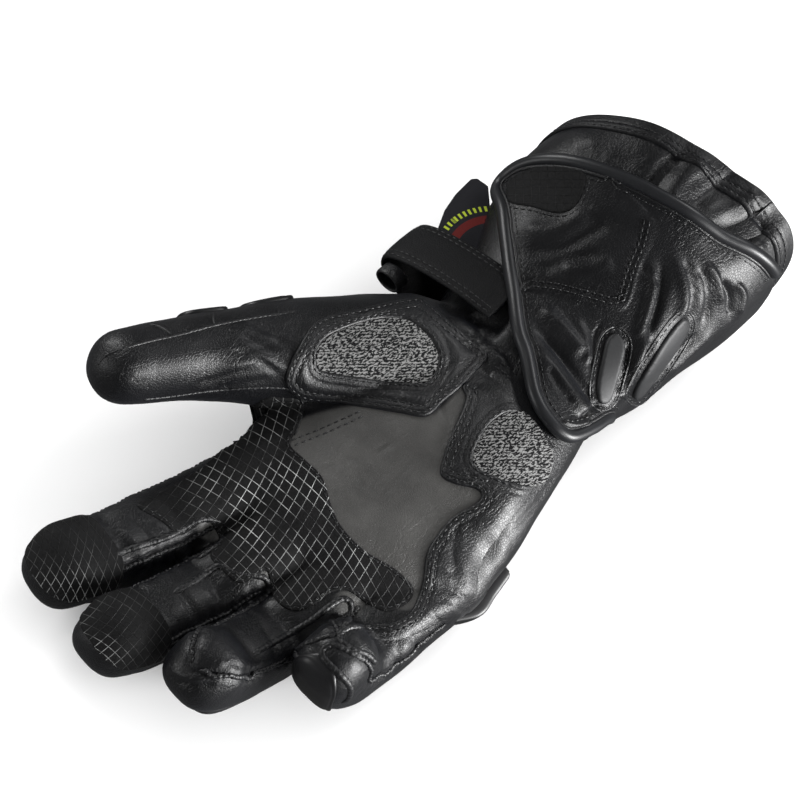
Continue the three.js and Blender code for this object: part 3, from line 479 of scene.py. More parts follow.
class Carrier:
    """An outer face that panels, seams and stitches are laid on, also kept as the camera sees it."""

    def __init__(self, name, mesh):
        points, _ = mesh_arrays(mesh)
        self.face = add_object(name + "_face", mesh.copy())
        self.seen = add_object(name + "_seen", mesh.copy())
        self.seen.data.vertices.foreach_set("co", to_photo(points).astype(np.float32).ravel())
        self.seen.data.update()

    def wrap(self, points, target, **settings):
        """Where Blender's Shrinkwrap carries each point."""
        mesh = bpy.data.meshes.new("probe")
        mesh.vertices.add(len(points))
        mesh.vertices.foreach_set("co", points.astype(np.float32).ravel())
        probe = add_object("probe", mesh)
        wrap = probe.modifiers.new("wrap", "SHRINKWRAP")
        wrap.target = target
        for key, value in settings.items():
            setattr(wrap, key, value)
        done = probe.evaluated_get(bpy.context.evaluated_depsgraph_get())
        result = np.empty(len(points) * 3)
        done.data.vertices.foreach_get("co", result)
        bpy.data.objects.remove(probe)
        bpy.data.meshes.remove(mesh)
        return result.reshape(-1, 3)

    def nearest(self, points):
        """The nearest place on the face and its smooth normal."""
        on = self.wrap(points, self.face, wrap_method="NEAREST_SURFACEPOINT", wrap_mode="ON_SURFACE")
        above = self.wrap(points, self.face, wrap_method="NEAREST_SURFACEPOINT", wrap_mode="ABOVE_SURFACE",
                          offset=1.0)
        return on, unit(above - on)

    def under_pixels(self, pixels):
        """What the camera sees at each pixel. One that misses takes the depth of its nearest hit."""
        start = np.column_stack([pixels, np.full(len(pixels), -500.0)])
        hit = self.wrap(start, self.seen, wrap_method="PROJECT", wrap_mode="ON_SURFACE",
                        use_project_z=True, use_negative_direction=True, use_positive_direction=False)
        missed = hit[:, 2] > -501
        if missed.all():
            hit[:, 2] = -DISTANCE
        elif missed.any():
            gap = ((pixels[missed][:, None, :] - pixels[~missed][None, :, :]) ** 2).sum(-1)
            hit[missed, 2] = hit[~missed][gap.argmin(1), 2]
        places = from_photo(hit)
        on, normals = self.nearest(places)
        places[missed] = on[missed]
        return places, normals

    def remove(self):
        """Takes both helper meshes out of the scene."""
        for thing in (self.face, self.seen):
            mesh = thing.data
            bpy.data.objects.remove(thing)
            bpy.data.meshes.remove(mesh)


def photo_relief(points, normals, rows):
    """Height of creases and ridges drawn in the photograph, on what faces the camera.
    Each row is height, half width in pixels, then the line: height times e to the power -(d / w)^2,
    fading out towards both ends of the line."""
    seen = to_photo(points)[:, :2]
    faced = smooth_step(((normals * unit(CAMERA_PLACE - points)).sum(-1) - 0.02) / 0.2)
    height = np.zeros(len(points))
    for rise, width, line in rows:
        path = smooth_path(line, 3.0)
        low, high = path.min(0) - 3.5 * width, path.max(0) + 3.5 * width
        near = ((seen > low) & (seen < high)).all(1) & (faced > 0)
        if near.any():
            gap, along = to_path(seen[near], path)
            fade = smooth_step(along / 0.18) * smooth_step((1 - along) / 0.18)
            height[near] += rise * bell(gap, width) * (0.25 + 0.75 * fade) * faced[near]
    return height


def wobble(points, size, height, seed):
    """Slow unevenness of worked leather: a sum of six sine waves in seeded directions."""
    random = np.random.default_rng(seed)
    total = np.zeros(points.shape[:-1])
    for way in unit(random.normal(size=(6, 3))):
        total += np.sin(points @ way * 2 * np.pi / (size * random.uniform(0.7, 1.5)) + random.uniform(0, 6))
    return total * height / 6


# Materials

def new_material(name, **values):
    """A material with its shader's even values set on the shader's own sockets."""
    material = bpy.data.materials.new(name)
    material.use_nodes = True
    shader = material.node_tree.nodes["Principled BSDF"]
    for key, value in values.items():
        shader.inputs[key.replace("_", " ")].default_value = value
    return material, material.node_tree, shader


def node(tree, kind, values=None, **settings):
    """A shader node with its settings and its sockets' values."""
    made = tree.nodes.new(kind)
    for key, value in settings.items():
        setattr(made, key, value)
    for key, value in (values or {}).items():
        made.inputs[key].default_value = value
    return made


def link(tree, start, end):
    """Joins an output to an input."""
    tree.links.new(start, end)


def coordinates(tree, source="Object", scale=(1, 1, 1), turn=0.0):
    """Object or UV coordinates, scaled and turned by a Mapping node."""
    origin = node(tree, "ShaderNodeTexCoord")
    mapping = node(tree, "ShaderNodeMapping", {"Scale": scale, "Rotation": (0, 0, turn)})
    link(tree, origin.outputs[source], mapping.inputs["Vector"])
    return mapping.outputs["Vector"]


def noise(tree, vector, scale, detail=4.0, rough=0.55, distortion=0.0):
    """Noise texture's factor."""
    made = node(tree, "ShaderNodeTexNoise", {
        "Scale": scale, "Detail": detail, "Roughness": rough, "Distortion": distortion,
    })
    link(tree, vector, made.inputs["Vector"])
    return made.outputs["Fac"]


def ramp(tree, factor, stops):
    """Colour ramp. Each stop is a place and a grey or a colour."""
    made = node(tree, "ShaderNodeValToRGB")
    elements = made.color_ramp.elements
    while len(elements) < len(stops):
        elements.new(0.5)
    for element, (place, colour) in zip(elements, stops):
        element.position = place
        element.color = (*colour, 1) if hasattr(colour, "__len__") else (colour, colour, colour, 1)
    link(tree, factor, made.inputs["Fac"])
    return made.outputs["Color"]


def shades(colour, low, high):
    """Stops of a ramp between a darker and a lighter shade of a colour."""
    return [(0.3, tuple(low * c for c in colour)), (0.7, tuple(high * c for c in colour))]


def uv_parts(tree):
    """The UV map's two coordinates."""
    origin = node(tree, "ShaderNodeTexCoord")
    parts = node(tree, "ShaderNodeSeparateXYZ")
    link(tree, origin.outputs["UV"], parts.inputs["Vector"])
    return parts.outputs["X"], parts.outputs["Y"]


def mixed(tree, factor, first, second):
    """Mix of two colours, each a socket or a colour, by a socket or a number."""
    made = node(tree, "ShaderNodeMix", data_type="RGBA", blend_type="MIX")
    for key, value in ((0, factor), (6, first), (7, second)):
        if isinstance(value, bpy.types.NodeSocket):
            link(tree, value, made.inputs[key])
        else:
            made.inputs[key].default_value = (*value, 1) if hasattr(value, "__len__") else value
    return made.outputs[2]


def math(tree, operation, first, second=0.0, third=0.0):
    """One arithmetic node on sockets or numbers."""
    made = node(tree, "ShaderNodeMath", operation=operation)
    for key, value in enumerate((first, second, third)):
        if isinstance(value, bpy.types.NodeSocket):
            link(tree, value, made.inputs[key])
        else:
            made.inputs[key].default_value = value
    return made.outputs[0]


def bumped(tree, shader, layers):
    """A chain of bump nodes. Each layer is a height socket, a strength and a depth in metres."""
    previous = None
    for height, strength, depth in layers:
        made = node(tree, "ShaderNodeBump", {"Strength": strength, "Distance": depth})
        link(tree, height, made.inputs["Height"])
        if previous is not None:
            link(tree, previous, made.inputs["Normal"])
        previous = made.outputs["Normal"]
    link(tree, previous, shader.inputs["Normal"])


def grain_height(tree, vector, scale):
    """Pebbled leather grain: cells of a Voronoi pattern, bent by noise."""
    bend = node(tree, "ShaderNodeTexNoise", {"Scale": scale * 0.7, "Detail": 2.0})
    link(tree, vector, bend.inputs["Vector"])
    shift = node(tree, "ShaderNodeVectorMath", {1: (0.5 / scale,) * 3}, operation="MULTIPLY")
    link(tree, bend.outputs["Color"], shift.inputs[0])
    moved = node(tree, "ShaderNodeVectorMath", operation="ADD")
    link(tree, vector, moved.inputs[0])
    link(tree, shift.outputs["Vector"], moved.inputs[1])
    cells = node(tree, "ShaderNodeTexVoronoi", {"Scale": scale}, feature="DISTANCE_TO_EDGE")
    link(tree, moved.outputs["Vector"], cells.inputs["Vector"])
    return ramp(tree, cells.outputs["Distance"], [(0.0, 0.0), (0.16, 0.85), (0.5, 1.0)])


def grain_leather(name, colour, rough, grain=1150, coat=0.12, suede=None, shine=0.42):
    """Black glove leather: pebbled grain, fine creases, slow change of gloss. The palm's own leather is
    mixed in where the piece carries the attribute suede."""
    material, tree, shader = new_material(
        name, Coat_Weight=coat, Coat_Roughness=0.3, Sheen_Weight=0.02, Sheen_Roughness=0.45,
        Sheen_Tint=(0.62, 0.68, 0.85, 1), Specular_IOR_Level=shine,
    )
    where = coordinates(tree)
    broad = noise(tree, where, 45, 5)
    fine = noise(tree, where, 420, 4)
    tone = ramp(tree, broad, shades(colour, 0.72, 1.35))
    gloss = math(tree, "MULTIPLY_ADD", broad, 0.22, rough - 0.11)
    grain = grain_height(tree, where, grain)
    strain = coordinates(tree, scale=(1, 0.4, 0.7))
    lines = ramp(tree, noise(tree, strain, 230, 4, 0.55, 0.5), [(0.44, 1.0), (0.5, 0.0), (0.56, 1.0)])
    creased = ramp(tree, noise(tree, where, 38, 2), [(0.42, 0.0), (0.62, 1.0)])
    creases = math(tree, "MULTIPLY", lines, creased)
    swell = noise(tree, where, 95, 3, 0.5)
    if suede is not None:
        mask = node(tree, "ShaderNodeAttribute", attribute_name="suede").outputs["Fac"]
        nap = ramp(tree, noise(tree, where, 42, 7, 0.68), shades(suede, 0.75, 1.50))
        tone = mixed(tree, mask, tone, nap)
        gloss = math(tree, "MULTIPLY_ADD", mask, 0.10, gloss)
    link(tree, tone, shader.inputs["Base Color"])
    link(tree, gloss, shader.inputs["Roughness"])
    bumped(tree, shader, [
        (swell, 0.16, 0.0010), (grain, 0.36, 0.0002), (creases, 0.34, 0.0004), (fine, 0.14, 0.0003),
    ])
    return material


def smooth_hide(name, colour, rough, coat=0.0):
    """Close, nearly plain hide for piping, ribs and moulded guards."""
    material, tree, shader = new_material(name, Coat_Weight=coat, Coat_Roughness=0.25, Specular_IOR_Level=0.5)
    where = coordinates(tree)
    slow = noise(tree, where, 60, 4)
    link(tree, ramp(tree, slow, shades(colour, 0.8, 1.2)), shader.inputs["Base Color"])
    link(tree, math(tree, "MULTIPLY_ADD", slow, 0.16, rough - 0.08), shader.inputs["Roughness"])
    pores = noise(tree, where, 900, 3)
    pebbles = grain_height(tree, where, 1900)
    bumped(tree, shader, [(pores, 0.12, 0.0002), (pebbles, 0.08, 0.0001)])
    return material


def printed_grip(name, strength, wear=0.51):
    """Near-black nap with silvery printed ribs. The UV map counts ribs both ways, so a rib lies where a
    coordinate is near a whole number, and noise wears it away in places. A per-vertex attribute keeps the
    ribs brightest round a few spots, which is partly wear and partly a painted highlight."""
    material, tree, shader = new_material(name, Sheen_Weight=0.01, Specular_IOR_Level=0.14)
    where = node(tree, "ShaderNodeTexCoord").outputs["Object"]
    nap = noise(tree, where, 1500, 3, 0.7)
    ribs = []
    for count in uv_parts(tree):
        off = math(tree, "ABSOLUTE", math(tree, "SUBTRACT", math(tree, "FRACT", count), 0.5))
        ribs.append(ramp(tree, off, [(0.0, 1.0), (0.013, 1.0), (0.045, 0.0)]))
    rib = math(tree, "MAXIMUM", ribs[0], ribs[1])
    wear_and_highlight = ramp(tree, noise(tree, where, 60, 4, 0.6), [(wear - 0.10, 0.05), (wear + 0.10, 1.0)])
    # Painted highlight mixed with wear: the ribs show brightest round listed spots and dimmer elsewhere.
    rub_and_highlight = node(tree, "ShaderNodeAttribute", attribute_name="rub_and_highlight").outputs["Fac"]
    wear_and_highlight = math(tree, "MULTIPLY", wear_and_highlight, math(tree, "MULTIPLY_ADD", rub_and_highlight, 0.92, 0.08))
    dashes = ramp(tree, noise(tree, where, 600, 2, 0.5), [(0.34, 0.25), (0.48, 1.0)])
    shown = math(tree, "MULTIPLY", rib, wear_and_highlight)
    shown = math(tree, "MULTIPLY", shown, math(tree, "MULTIPLY", dashes, strength))
    ground = ramp(tree, nap, [(0.3, (0.003, 0.003, 0.003)), (0.75, (0.010, 0.010, 0.0105))])
    link(tree, mixed(tree, shown, ground, (0.62, 0.63, 0.62)), shader.inputs["Base Color"])
    link(tree, ramp(tree, rib, [(0.0, 0.72), (1.0, 0.34)]), shader.inputs["Roughness"])
    bumped(tree, shader, [(nap, 0.35, 0.0003), (rib, 0.7, 0.00035)])
    return material


def knit_cloth(name):
    """Stretch knit: short light-grey waves on black, longer along u than across. The UV map is in
    millimetres."""
    material, tree, shader = new_material(name, Specular_IOR_Level=0.1)
    _, along = uv_parts(tree)
    lean = node(tree, "ShaderNodeVectorMath", {1: (0.85, 1.9, 1.0)}, operation="MULTIPLY")
    link(tree, coordinates(tree, "UV", turn=0.42), lean.inputs[0])
    worms = noise(tree, lean.outputs["Vector"], 1.0, 1, 0.5, 0.8)
    row = math(tree, "SINE", math(tree, "MULTIPLY", along, 5.6))
    thread = ramp(tree, math(tree, "MULTIPLY_ADD", row, 0.05, worms), [(0.515, 0.0), (0.54, 1.0)])
    fuzz = noise(tree, coordinates(tree, "UV"), 6.0, 2)
    light = ramp(tree, fuzz, [(0.3, (0.09, 0.09, 0.09)), (0.7, (0.24, 0.24, 0.236))])
    link(tree, mixed(tree, thread, (0.006, 0.006, 0.0065), light), shader.inputs["Base Color"])
    shader.inputs["Roughness"].default_value = 0.85
    bumped(tree, shader, [(thread, 0.6, 0.0005), (fuzz, 0.2, 0.0002)])
    return material


def woven_tag(name):
    """Woven label: dark grey ribs with a plain yellow-green band and a dark red band, no lettering."""
    material, tree, shader = new_material(name, Roughness=0.85, Specular_IOR_Level=0.2)
    across, along = uv_parts(tree)
    weave = math(tree, "MULTIPLY", math(tree, "SINE", math(tree, "MULTIPLY", across, 18.0)),
                 math(tree, "SINE", math(tree, "MULTIPLY", along, 18.0)))
    weave = math(tree, "MULTIPLY_ADD", weave, 0.5, 0.5)
    ground = ramp(tree, weave, [(0.2, (0.006, 0.006, 0.008)), (0.8, (0.020, 0.020, 0.024))])
    blocks = math(tree, "GREATER_THAN", math(tree, "SINE", math(tree, "MULTIPLY", along, 2.6)), 0.1)
    green = math(tree, "MULTIPLY", math(tree, "COMPARE", across, 10.0, 1.1), blocks)
    red = math(tree, "COMPARE", across, 14.5, 1.6)
    tone = mixed(tree, green, ground, (0.34, 0.42, 0.03))
    link(tree, mixed(tree, red, tone, (0.10, 0.010, 0.009)), shader.inputs["Base Color"])
    bumped(tree, shader, [(weave, 0.5, 0.0002)])
    return material


def sewing_thread(name, colour):
    """Bonded thread: a dull twist."""
    material, tree, shader = new_material(name, Roughness=0.38, Specular_IOR_Level=0.6)
    twist = noise(tree, coordinates(tree), 2500, 2)
    link(tree, ramp(tree, twist, shades(colour, 0.6, 1.5)), shader.inputs["Base Color"])
    bumped(tree, shader, [(twist, 0.3, 0.0001)])
    return material


BLACK = (0.0026, 0.0027, 0.0034)
PALM_GREY = (0.039, 0.038, 0.036)
palm_hide = grain_leather("palm and finger leather", BLACK, 0.40, suede=PALM_GREY)
panel_hide = grain_leather("overlay leather", BLACK, 0.42, shine=0.55)
cuff_hide = grain_leather("cuff leather", BLACK, 0.43, grain=950, shine=0.32)
piping_hide = smooth_hide("piping rubber", (0.0085, 0.009, 0.0105), 0.38)
rib_hide = smooth_hide("rib leather", (0.010, 0.0104, 0.0115), 0.55)
strap_hide = grain_leather("strap leather", (0.0020, 0.0020, 0.0024), 0.55, coat=0.0, shine=0.22)
guard_hide = smooth_hide("moulded guard", (0.005, 0.005, 0.006), 0.42, coat=0.08)
palm_print = printed_grip("printed palm grip", 0.9, 0.49)
tip_print = printed_grip("printed tip grip", 0.8, 0.50)
cuff_print = printed_grip("printed cuff patch", 0.03)
knit = knit_cloth("grey stretch knit")
tag_weave = woven_tag("woven tag")
seam_thread = sewing_thread("seam thread", (0.007, 0.0072, 0.008))


# Pieces laid on a carrier from outlines in the photograph

def inset_points(outline, distance):
    """Points of a closed outline moved inwards, those that come too near another side left out."""
    way = unit(np.roll(outline, -1, 0) - np.roll(outline, 1, 0))
    area = (outline[:, 0] * np.roll(outline[:, 1], -1) - np.roll(outline[:, 0], -1) * outline[:, 1]).sum()
    inward = np.column_stack([-way[:, 1], way[:, 0]]) * np.sign(area)
    moved = outline + inward * distance
    gap, _ = to_path(moved, outline, closed=True)
    return moved[(gap > 0.93 * abs(distance)) & (inside(moved, outline) == (distance > 0))]


def flat_panel(outline, windows, spacing, insets):
    """Triangles of a flat panel: its edges, rings of points just inside them, and an even grid between."""
    loops = [outline] + windows
    rings = [inset_points(outline, d) for d in insets]
    for window in windows:
        rings += [inset_points(window, -d) for d in insets]
    low, high = outline.min(0), outline.max(0)
    rows = np.arange(low[1], high[1], spacing * 0.87)
    across = np.arange(low[0], high[0], spacing)
    grid = np.stack(np.meshgrid(across, rows), -1)
    grid[1::2, :, 0] += spacing / 2
    grid = grid.reshape(-1, 2)
    extra = np.vstack(rings + [grid])
    keep = inside(extra, outline)
    for window in windows:
        keep &= ~inside(extra, window)
    extra = extra[keep]
    gap = np.min([to_path(extra, loop, closed=True)[0] for loop in loops], 0)
    extra = extra[gap > insets[0] * 0.8]
    edges = []
    start = 0
    for loop in loops:
        index = np.arange(len(loop)) + start
        edges += np.stack([index, np.roll(index, -1)], -1).tolist()
        start += len(loop)
    points = np.vstack(loops + [extra])
    flat, _, faces, _, _, _ = delaunay_2d_cdt(points.tolist(), edges, [], 1, 1e-3)
    flat = np.array([tuple(v) for v in flat])
    faces = np.array(faces)
    middle = flat[faces].mean(1)
    keep = inside(middle, outline)
    for window in windows:
        keep &= ~inside(middle, window)
    return flat, faces[keep]


def edge_roll(gap, top, roll=1.1, sunk=0.45):
    """Height over a panel's edge: a quarter circle from below the skin up to the panel's top."""
    t = np.clip(gap / roll, 0, 1)
    return -sunk + (top + sunk) * np.sqrt(1 - (1 - t) ** 2)


# Stitch rows inside a panel's edge, in millimetres
STITCH_ROWS = (1.5, 3.7)
# Steps along an outline, and rings of points inside it, in pixels
OUTLINE_STEP = 2.2
EDGE_RINGS = (1.1, 2.4, 4.2, 6.2, 8.4, 10.4)


def laid_panel(name, carrier, outline, material, nodes=(), windows=(), top=PANEL_TOP, puff=0.0,
               rows=STITCH_ROWS, fade=None, spacing=2.3, uv=None):
    """A panel on its carrier: edges rolled over, grooves along its stitch rows, a soft puff between them.
    Along the line fade it sinks into the leather that it is cut from."""
    edge = smooth_path(outline, OUTLINE_STEP, closed=True)
    holes = [smooth_path(window, OUTLINE_STEP, closed=True) for window in windows]
    flat, faces = flat_panel(edge, holes, spacing, EDGE_RINGS)
    places, normals = carrier.under_pixels(flat)
    gap = np.min([to_path(flat, loop, closed=True)[0] for loop in [edge] + holes], 0) / PIXELS_PER_MM
    height = edge_roll(gap, top)
    for row in rows:
        height -= 0.28 * bell(gap - row, 0.42)
    height += puff * smooth_step((gap - 3.6) / 4.0)
    if fade is not None:
        away, _ = to_path(flat, smooth_path(fade, 3.0))
        kept = smooth_step((away / PIXELS_PER_MM - 1) / 9)
        height = height * kept - 0.5 * (1 - kept)
    points = places + normals * height[:, None]
    a, b, c = (points[faces[:, k]] for k in range(3))
    facing = (np.cross(b - a, c - a) * normals[faces[:, 0]]).sum() > 0
    faces = faces if facing else faces[:, ::-1]
    pattern = flat / PIXELS_PER_MM if uv is None else uv(flat)
    thing = piece(name, points, faces, material, nodes, pattern, closed=False)
    thicken(thing, PANEL_WALL)
    return edge, holes


class Sewing:
    """Collects stitches and seams on a carrier and makes them as a few joined meshes."""

    def __init__(self):
        self.spots = []
        self.ridges = []

    def row(self, places, normals, lift, spacing=2.7, length=1.9):
        """One stitch at every spacing along a line of places, lifted off the face."""
        if len(places) < 3:
            return
        data = even_path(np.hstack([places, normals]), 0.3)
        step = np.linalg.norm(np.diff(data[:, :3], axis=0), axis=1)
        run = np.concatenate([[0], np.cumsum(step)])
        where = np.arange(spacing / 2, run[-1], spacing)
        if len(where) == 0:
            return
        spot = np.stack([np.interp(where, run, data[:, k]) for k in range(6)], -1)
        ahead = np.stack([np.interp(where + 0.6, run, data[:, k]) for k in range(3)], -1)
        behind = np.stack([np.interp(where - 0.6, run, data[:, k]) for k in range(3)], -1)
        normal = unit(spot[:, 3:])
        place = spot[:, :3] + normal * lift
        self.spots.append((place, unit(ahead - behind), normal, np.full(len(where), length)))

    def ridge(self, places, normals, radius, lift=0.0, beat=0.0, depth=0.0, sides=8):
        """A raised seam: a tube along the places, its radius beating where it is overcast."""
        data = even_path(np.hstack([places, normals]), 0.45 if beat else 0.9)
        spot, normal = data[:, :3], unit(data[:, 3:])
        way = unit(np.gradient(spot, axis=0))
        across = unit(np.cross(way, normal))
        run = np.concatenate([[0], np.cumsum(np.linalg.norm(np.diff(spot, axis=0), axis=1))])
        size = np.full(len(run), radius)
        if beat:
            size = radius * (1 - depth + depth * np.abs(np.sin(np.pi * run / beat)))
        ends = np.minimum(run, run[-1] - run)
        size = size * np.sqrt(np.clip(ends / (2 * radius), 0.02, 1))
        angle = np.linspace(0, 2 * np.pi, sides, endpoint=False)[None, :, None]
        ring = np.cos(angle) * across[:, None] + np.sin(angle) * normal[:, None]
        grid = (spot + normal * lift)[:, None] + size[:, None, None] * ring
        self.ridges.append(grid)

    def make_stitches(self, name, material, slot, width=0.30, sides=6, rings=4):
        """Every stitch as a small closed bead, half sunk, all in one mesh."""
        place, way, normal, length = (np.concatenate([s[k] for s in self.spots]) for k in range(4))
        across = np.cross(way, normal)
        u = np.linspace(0.12, np.pi - 0.12, rings)[:, None]
        v = np.linspace(0, 2 * np.pi, sides, endpoint=False)[None, :]
        along = -np.cos(u) * np.ones_like(v)
        side, rise = np.sin(u) ** 0.6 * np.cos(v), np.sin(u) ** 0.6 * np.sin(v)
        shape = (along[None, ..., None] * way[:, None, None] * length[:, None, None, None] / 2
                 + side[None, ..., None] * across[:, None, None] * width
                 + rise[None, ..., None] * normal[:, None, None] * width)
        points = (place[:, None, None] + shape).reshape(len(place), -1, 3)
        first = np.array([[0, 1, 2, 3], [0, 3, 4, 5]])
        last = (first + (rings - 1) * sides)[:, ::-1]
        one = np.vstack([grid_faces(rings, sides, wrap=True)[:, ::-1], first, last])
        count = rings * sides
        every = (one[None] + (np.arange(len(place)) * count)[:, None, None]).reshape(-1, 4)
        flat = points.reshape(-1, 3)
        if volume(points[0], one) < 0:
            every = every[:, ::-1]
        piece(name, flat, every, material, closed=False)

    def make_ridges(self, name, material, slot):
        """Every raised seam in one mesh, closed at both ends."""
        points, faces, start = [], [], 0
        for grid in self.ridges:
            rows, sides = grid.shape[:2]
            ends = np.stack([grid[0].mean(0), grid[-1].mean(0)])
            flat = np.vstack([grid.reshape(-1, 3), ends])
            quads = grid_faces(rows, sides, wrap=True)
            k = np.arange(sides)
            cap = rows * sides
            head = np.stack([np.full(sides, cap), np.roll(k, -1), k, k], -1)
            tail_ring = (rows - 1) * sides
            tail = np.stack([np.full(sides, cap + 1), tail_ring + k, tail_ring + np.roll(k, -1),
                             tail_ring + np.roll(k, -1)], -1)
            own = np.vstack([quads, head, tail])
            if volume(flat, own) < 0:
                own = own[:, ::-1]
            points.append(flat)
            faces.append(own + start)
            start += len(flat)
        ridge_mesh(name, np.vstack(points), np.vstack(faces), material)


def ridge_mesh(name, points, faces, material):
    """A mesh of quads and triangles, a triangle being a quad that names one corner twice."""
    mesh = bpy.data.meshes.new(name)
    placed = (points + SHIFT) * MILLIMETRE
    triangle = (faces[:, 2] == faces[:, 3]) | (faces[:, 0] == faces[:, 1])
    three = faces[triangle]
    three = np.where((three[:, 2] == three[:, 3])[:, None], three[:, :3], three[:, 1:])
    mesh.from_pydata(placed.tolist(), [], faces[~triangle].tolist() + three.tolist())
    mesh.polygons.foreach_set("use_smooth", np.ones(len(mesh.polygons), bool))
    dress(add_object(name, mesh), material)


def runs_of(points, keep, reach):
    """The kept points as separate lines, cut where a point is left out or the next lies too far."""
    index = np.flatnonzero(keep)
    if len(index) < 3:
        return []
    step = np.linalg.norm(np.diff(points[index], axis=0), axis=1)
    cuts = np.flatnonzero((np.diff(index) > 1) | (step > reach)) + 1
    return [points[part] for part in np.split(index, cuts) if len(part) > 3]


def sew_loop(sewing, carrier, loop, inset, lift, skip=None, reach=12.0):
    """A row of stitches inside (or, below zero, outside) a closed outline, left out near the line skip."""
    path = inset_points(loop, inset * PIXELS_PER_MM)
    path = np.vstack([path, path[:1]])
    keep = np.ones(len(path), bool)
    if skip is not None:
        keep = to_path(path, smooth_path(skip, 3.0))[0] > reach
    for line in runs_of(path, keep, 9.0):
        places, normals = carrier.under_pixels(line)
        sewing.row(places, normals, lift)


def sew_line(sewing, carrier, pixels, lift, offsets=(0.0,), spacing=2.7):
    """Rows of stitches along a line of pixels, each offset sideways by so many pixels."""
    line = smooth_path(pixels, 2.0)
    way = unit(np.gradient(line, axis=0))
    side = np.column_stack([-way[:, 1], way[:, 0]])
    for offset in offsets:
        places, normals = carrier.under_pixels(line + side * offset)
        sewing.row(places, normals, lift, spacing)


def seam_line(sewing, carrier, pixels, radius, lift=0.0, beat=0.0, depth=0.0):
    """A raised seam along a line of pixels."""
    places, normals = carrier.under_pixels(smooth_path(pixels, 1.6))
    sewing.ridge(places, normals, radius, lift, beat, depth)


# Creases and folds drawn from the photograph: height, half width in pixels, line
HAND_CREASES = (
    (-0.7, 3.0, ((250, 322), (268, 330), (288, 345))),
    (-0.7, 3.0, ((240, 335), (262, 345), (286, 362))),
    (-0.6, 3.0, ((235, 350), (258, 360), (282, 376))),
    (0.6, 4.0, ((236, 343), (260, 353), (284, 369))),
    (-0.6, 3.0, ((152, 652), (172, 668), (206, 676), (240, 662))),
    (-0.9, 3.5, ((160, 666), (186, 684), (220, 686))),
    (0.8, 5.0, ((156, 660), (180, 676), (214, 682))),
    (-0.8, 3.5, ((232, 664), (250, 672), (262, 686))),
    (-0.8, 4.0, ((374, 640), (384, 660), (376, 690))),
    (-0.9, 4.0, ((310, 640), (318, 664), (334, 676))),
    (-0.6, 3.0, ((300, 470), (340, 463), (372, 452), (402, 438))),
    (-0.5, 3.0, ((376, 502), (398, 478), (422, 446))),
    (-0.9, 3.0, ((128, 512), (140, 527), (154, 546))),
    (-0.5, 2.2, ((140, 516), (152, 530), (164, 544))),
    (0.7, 5.0, ((118, 528), (134, 546), (142, 562))),
    (-0.6, 2.6, ((176, 588), (188, 604), (196, 622))),
    (-0.5, 2.4, ((206, 572), (214, 588), (220, 604))),
    (-0.6, 3.0, ((262, 622), (272, 640), (276, 660))),
    (-0.5, 2.4, ((286, 612), (296, 630), (300, 648))),
    (-0.7, 3.0, ((396, 640), (398, 662), (390, 690))),
    (-0.8, 2.6, ((412, 634), (420, 652), (418, 672))),
    (0.6, 5.0, ((405, 640), (408, 662), (402, 684))),
    (-0.6, 2.4, ((428, 612), (446, 626), (458, 640))),
    (-0.5, 2.2, ((432, 596), (452, 604), (472, 618))),
    (-0.5, 2.0, ((436, 580), (452, 592), (470, 600))),
    (-0.4, 2.0, ((436, 564), (450, 574), (462, 586))),
    (-0.35, 2.0, ((440, 548), (452, 560), (460, 574))),
    (0.5, 6.0, ((440, 604), (462, 612), (480, 622))),
    (-1.6, 7.0, ((462, 352), (486, 336), (506, 318), (514, 306))),
    (1.6, 7.0, ((446, 318), (466, 330), (494, 356), (510, 366))),
    (-1.2, 4.5, ((440, 300), (458, 314), (478, 322), (500, 322))),
    (1.2, 6.0, ((470, 316), (490, 306), (510, 300))),
    (-0.9, 3.5, ((492, 344), (506, 356), (516, 372))),
    (-0.8, 4.0, ((478, 368), (492, 376), (508, 392))),
    (-0.9, 4.0, ((300, 400), (326, 402), (352, 402))),
    (-0.7, 3.0, ((302, 410), (322, 408), (342, 404))),
    (0.7, 5.0, ((300, 405), (326, 406), (350, 404))),
    (-0.5, 3.0, ((196, 384), (228, 376), (262, 366))),
    (-0.5, 3.0, ((214, 392), (240, 384), (276, 378))),
    (-0.4, 3.0, ((236, 352), (262, 346), (290, 342))),
    (-0.4, 2.6, ((244, 338), (266, 330), (296, 324))),
    (0.4, 5.0, ((226, 368), (252, 360), (284, 352))),
    (-0.35, 5.0, ((345, 486), (372, 462), (404, 424))),
    (-0.3, 5.0, ((362, 492), (386, 470), (412, 440))),
    (-0.3, 6.0, ((330, 462), (350, 452), (372, 430))),
    (0.3, 8.0, ((352, 520), (384, 500), (420, 470))),
    (-0.8, 4.0, ((440, 402), (448, 424), (440, 450))),
    (-0.6, 3.5, ((560, 470), (540, 500), (512, 530))),
    (0.7, 9.0, ((470, 520), (500, 540), (500, 575))),
    (-0.5, 4.0, ((458, 520), (452, 550), (454, 580))),
)
CUFF_CREASES = (
    (1.8, 10.0, ((662, 222), (670, 200), (686, 178), (706, 162))),
    (-2.6, 8.0, ((646, 214), (652, 190), (664, 170), (682, 154))),
    (-6.0, 10.0, ((694, 248), (724, 240), (752, 230), (770, 216))),
    (2.0, 10.0, ((690, 232), (716, 214), (744, 200), (758, 190))),
    (1.4, 9.0, ((722, 262), (744, 250), (764, 240))),
    (-0.8, 5.0, ((690, 206), (712, 188), (734, 172))),
    (0.7, 6.0, ((700, 214), (722, 198), (742, 184))),
    (-0.8, 10.0, ((592, 150), (612, 152), (634, 168))),
    (0.8, 12.0, ((566, 140), (592, 142), (618, 160))),
    (-0.5, 4.0, ((676, 196), (690, 184), (702, 178))),
)
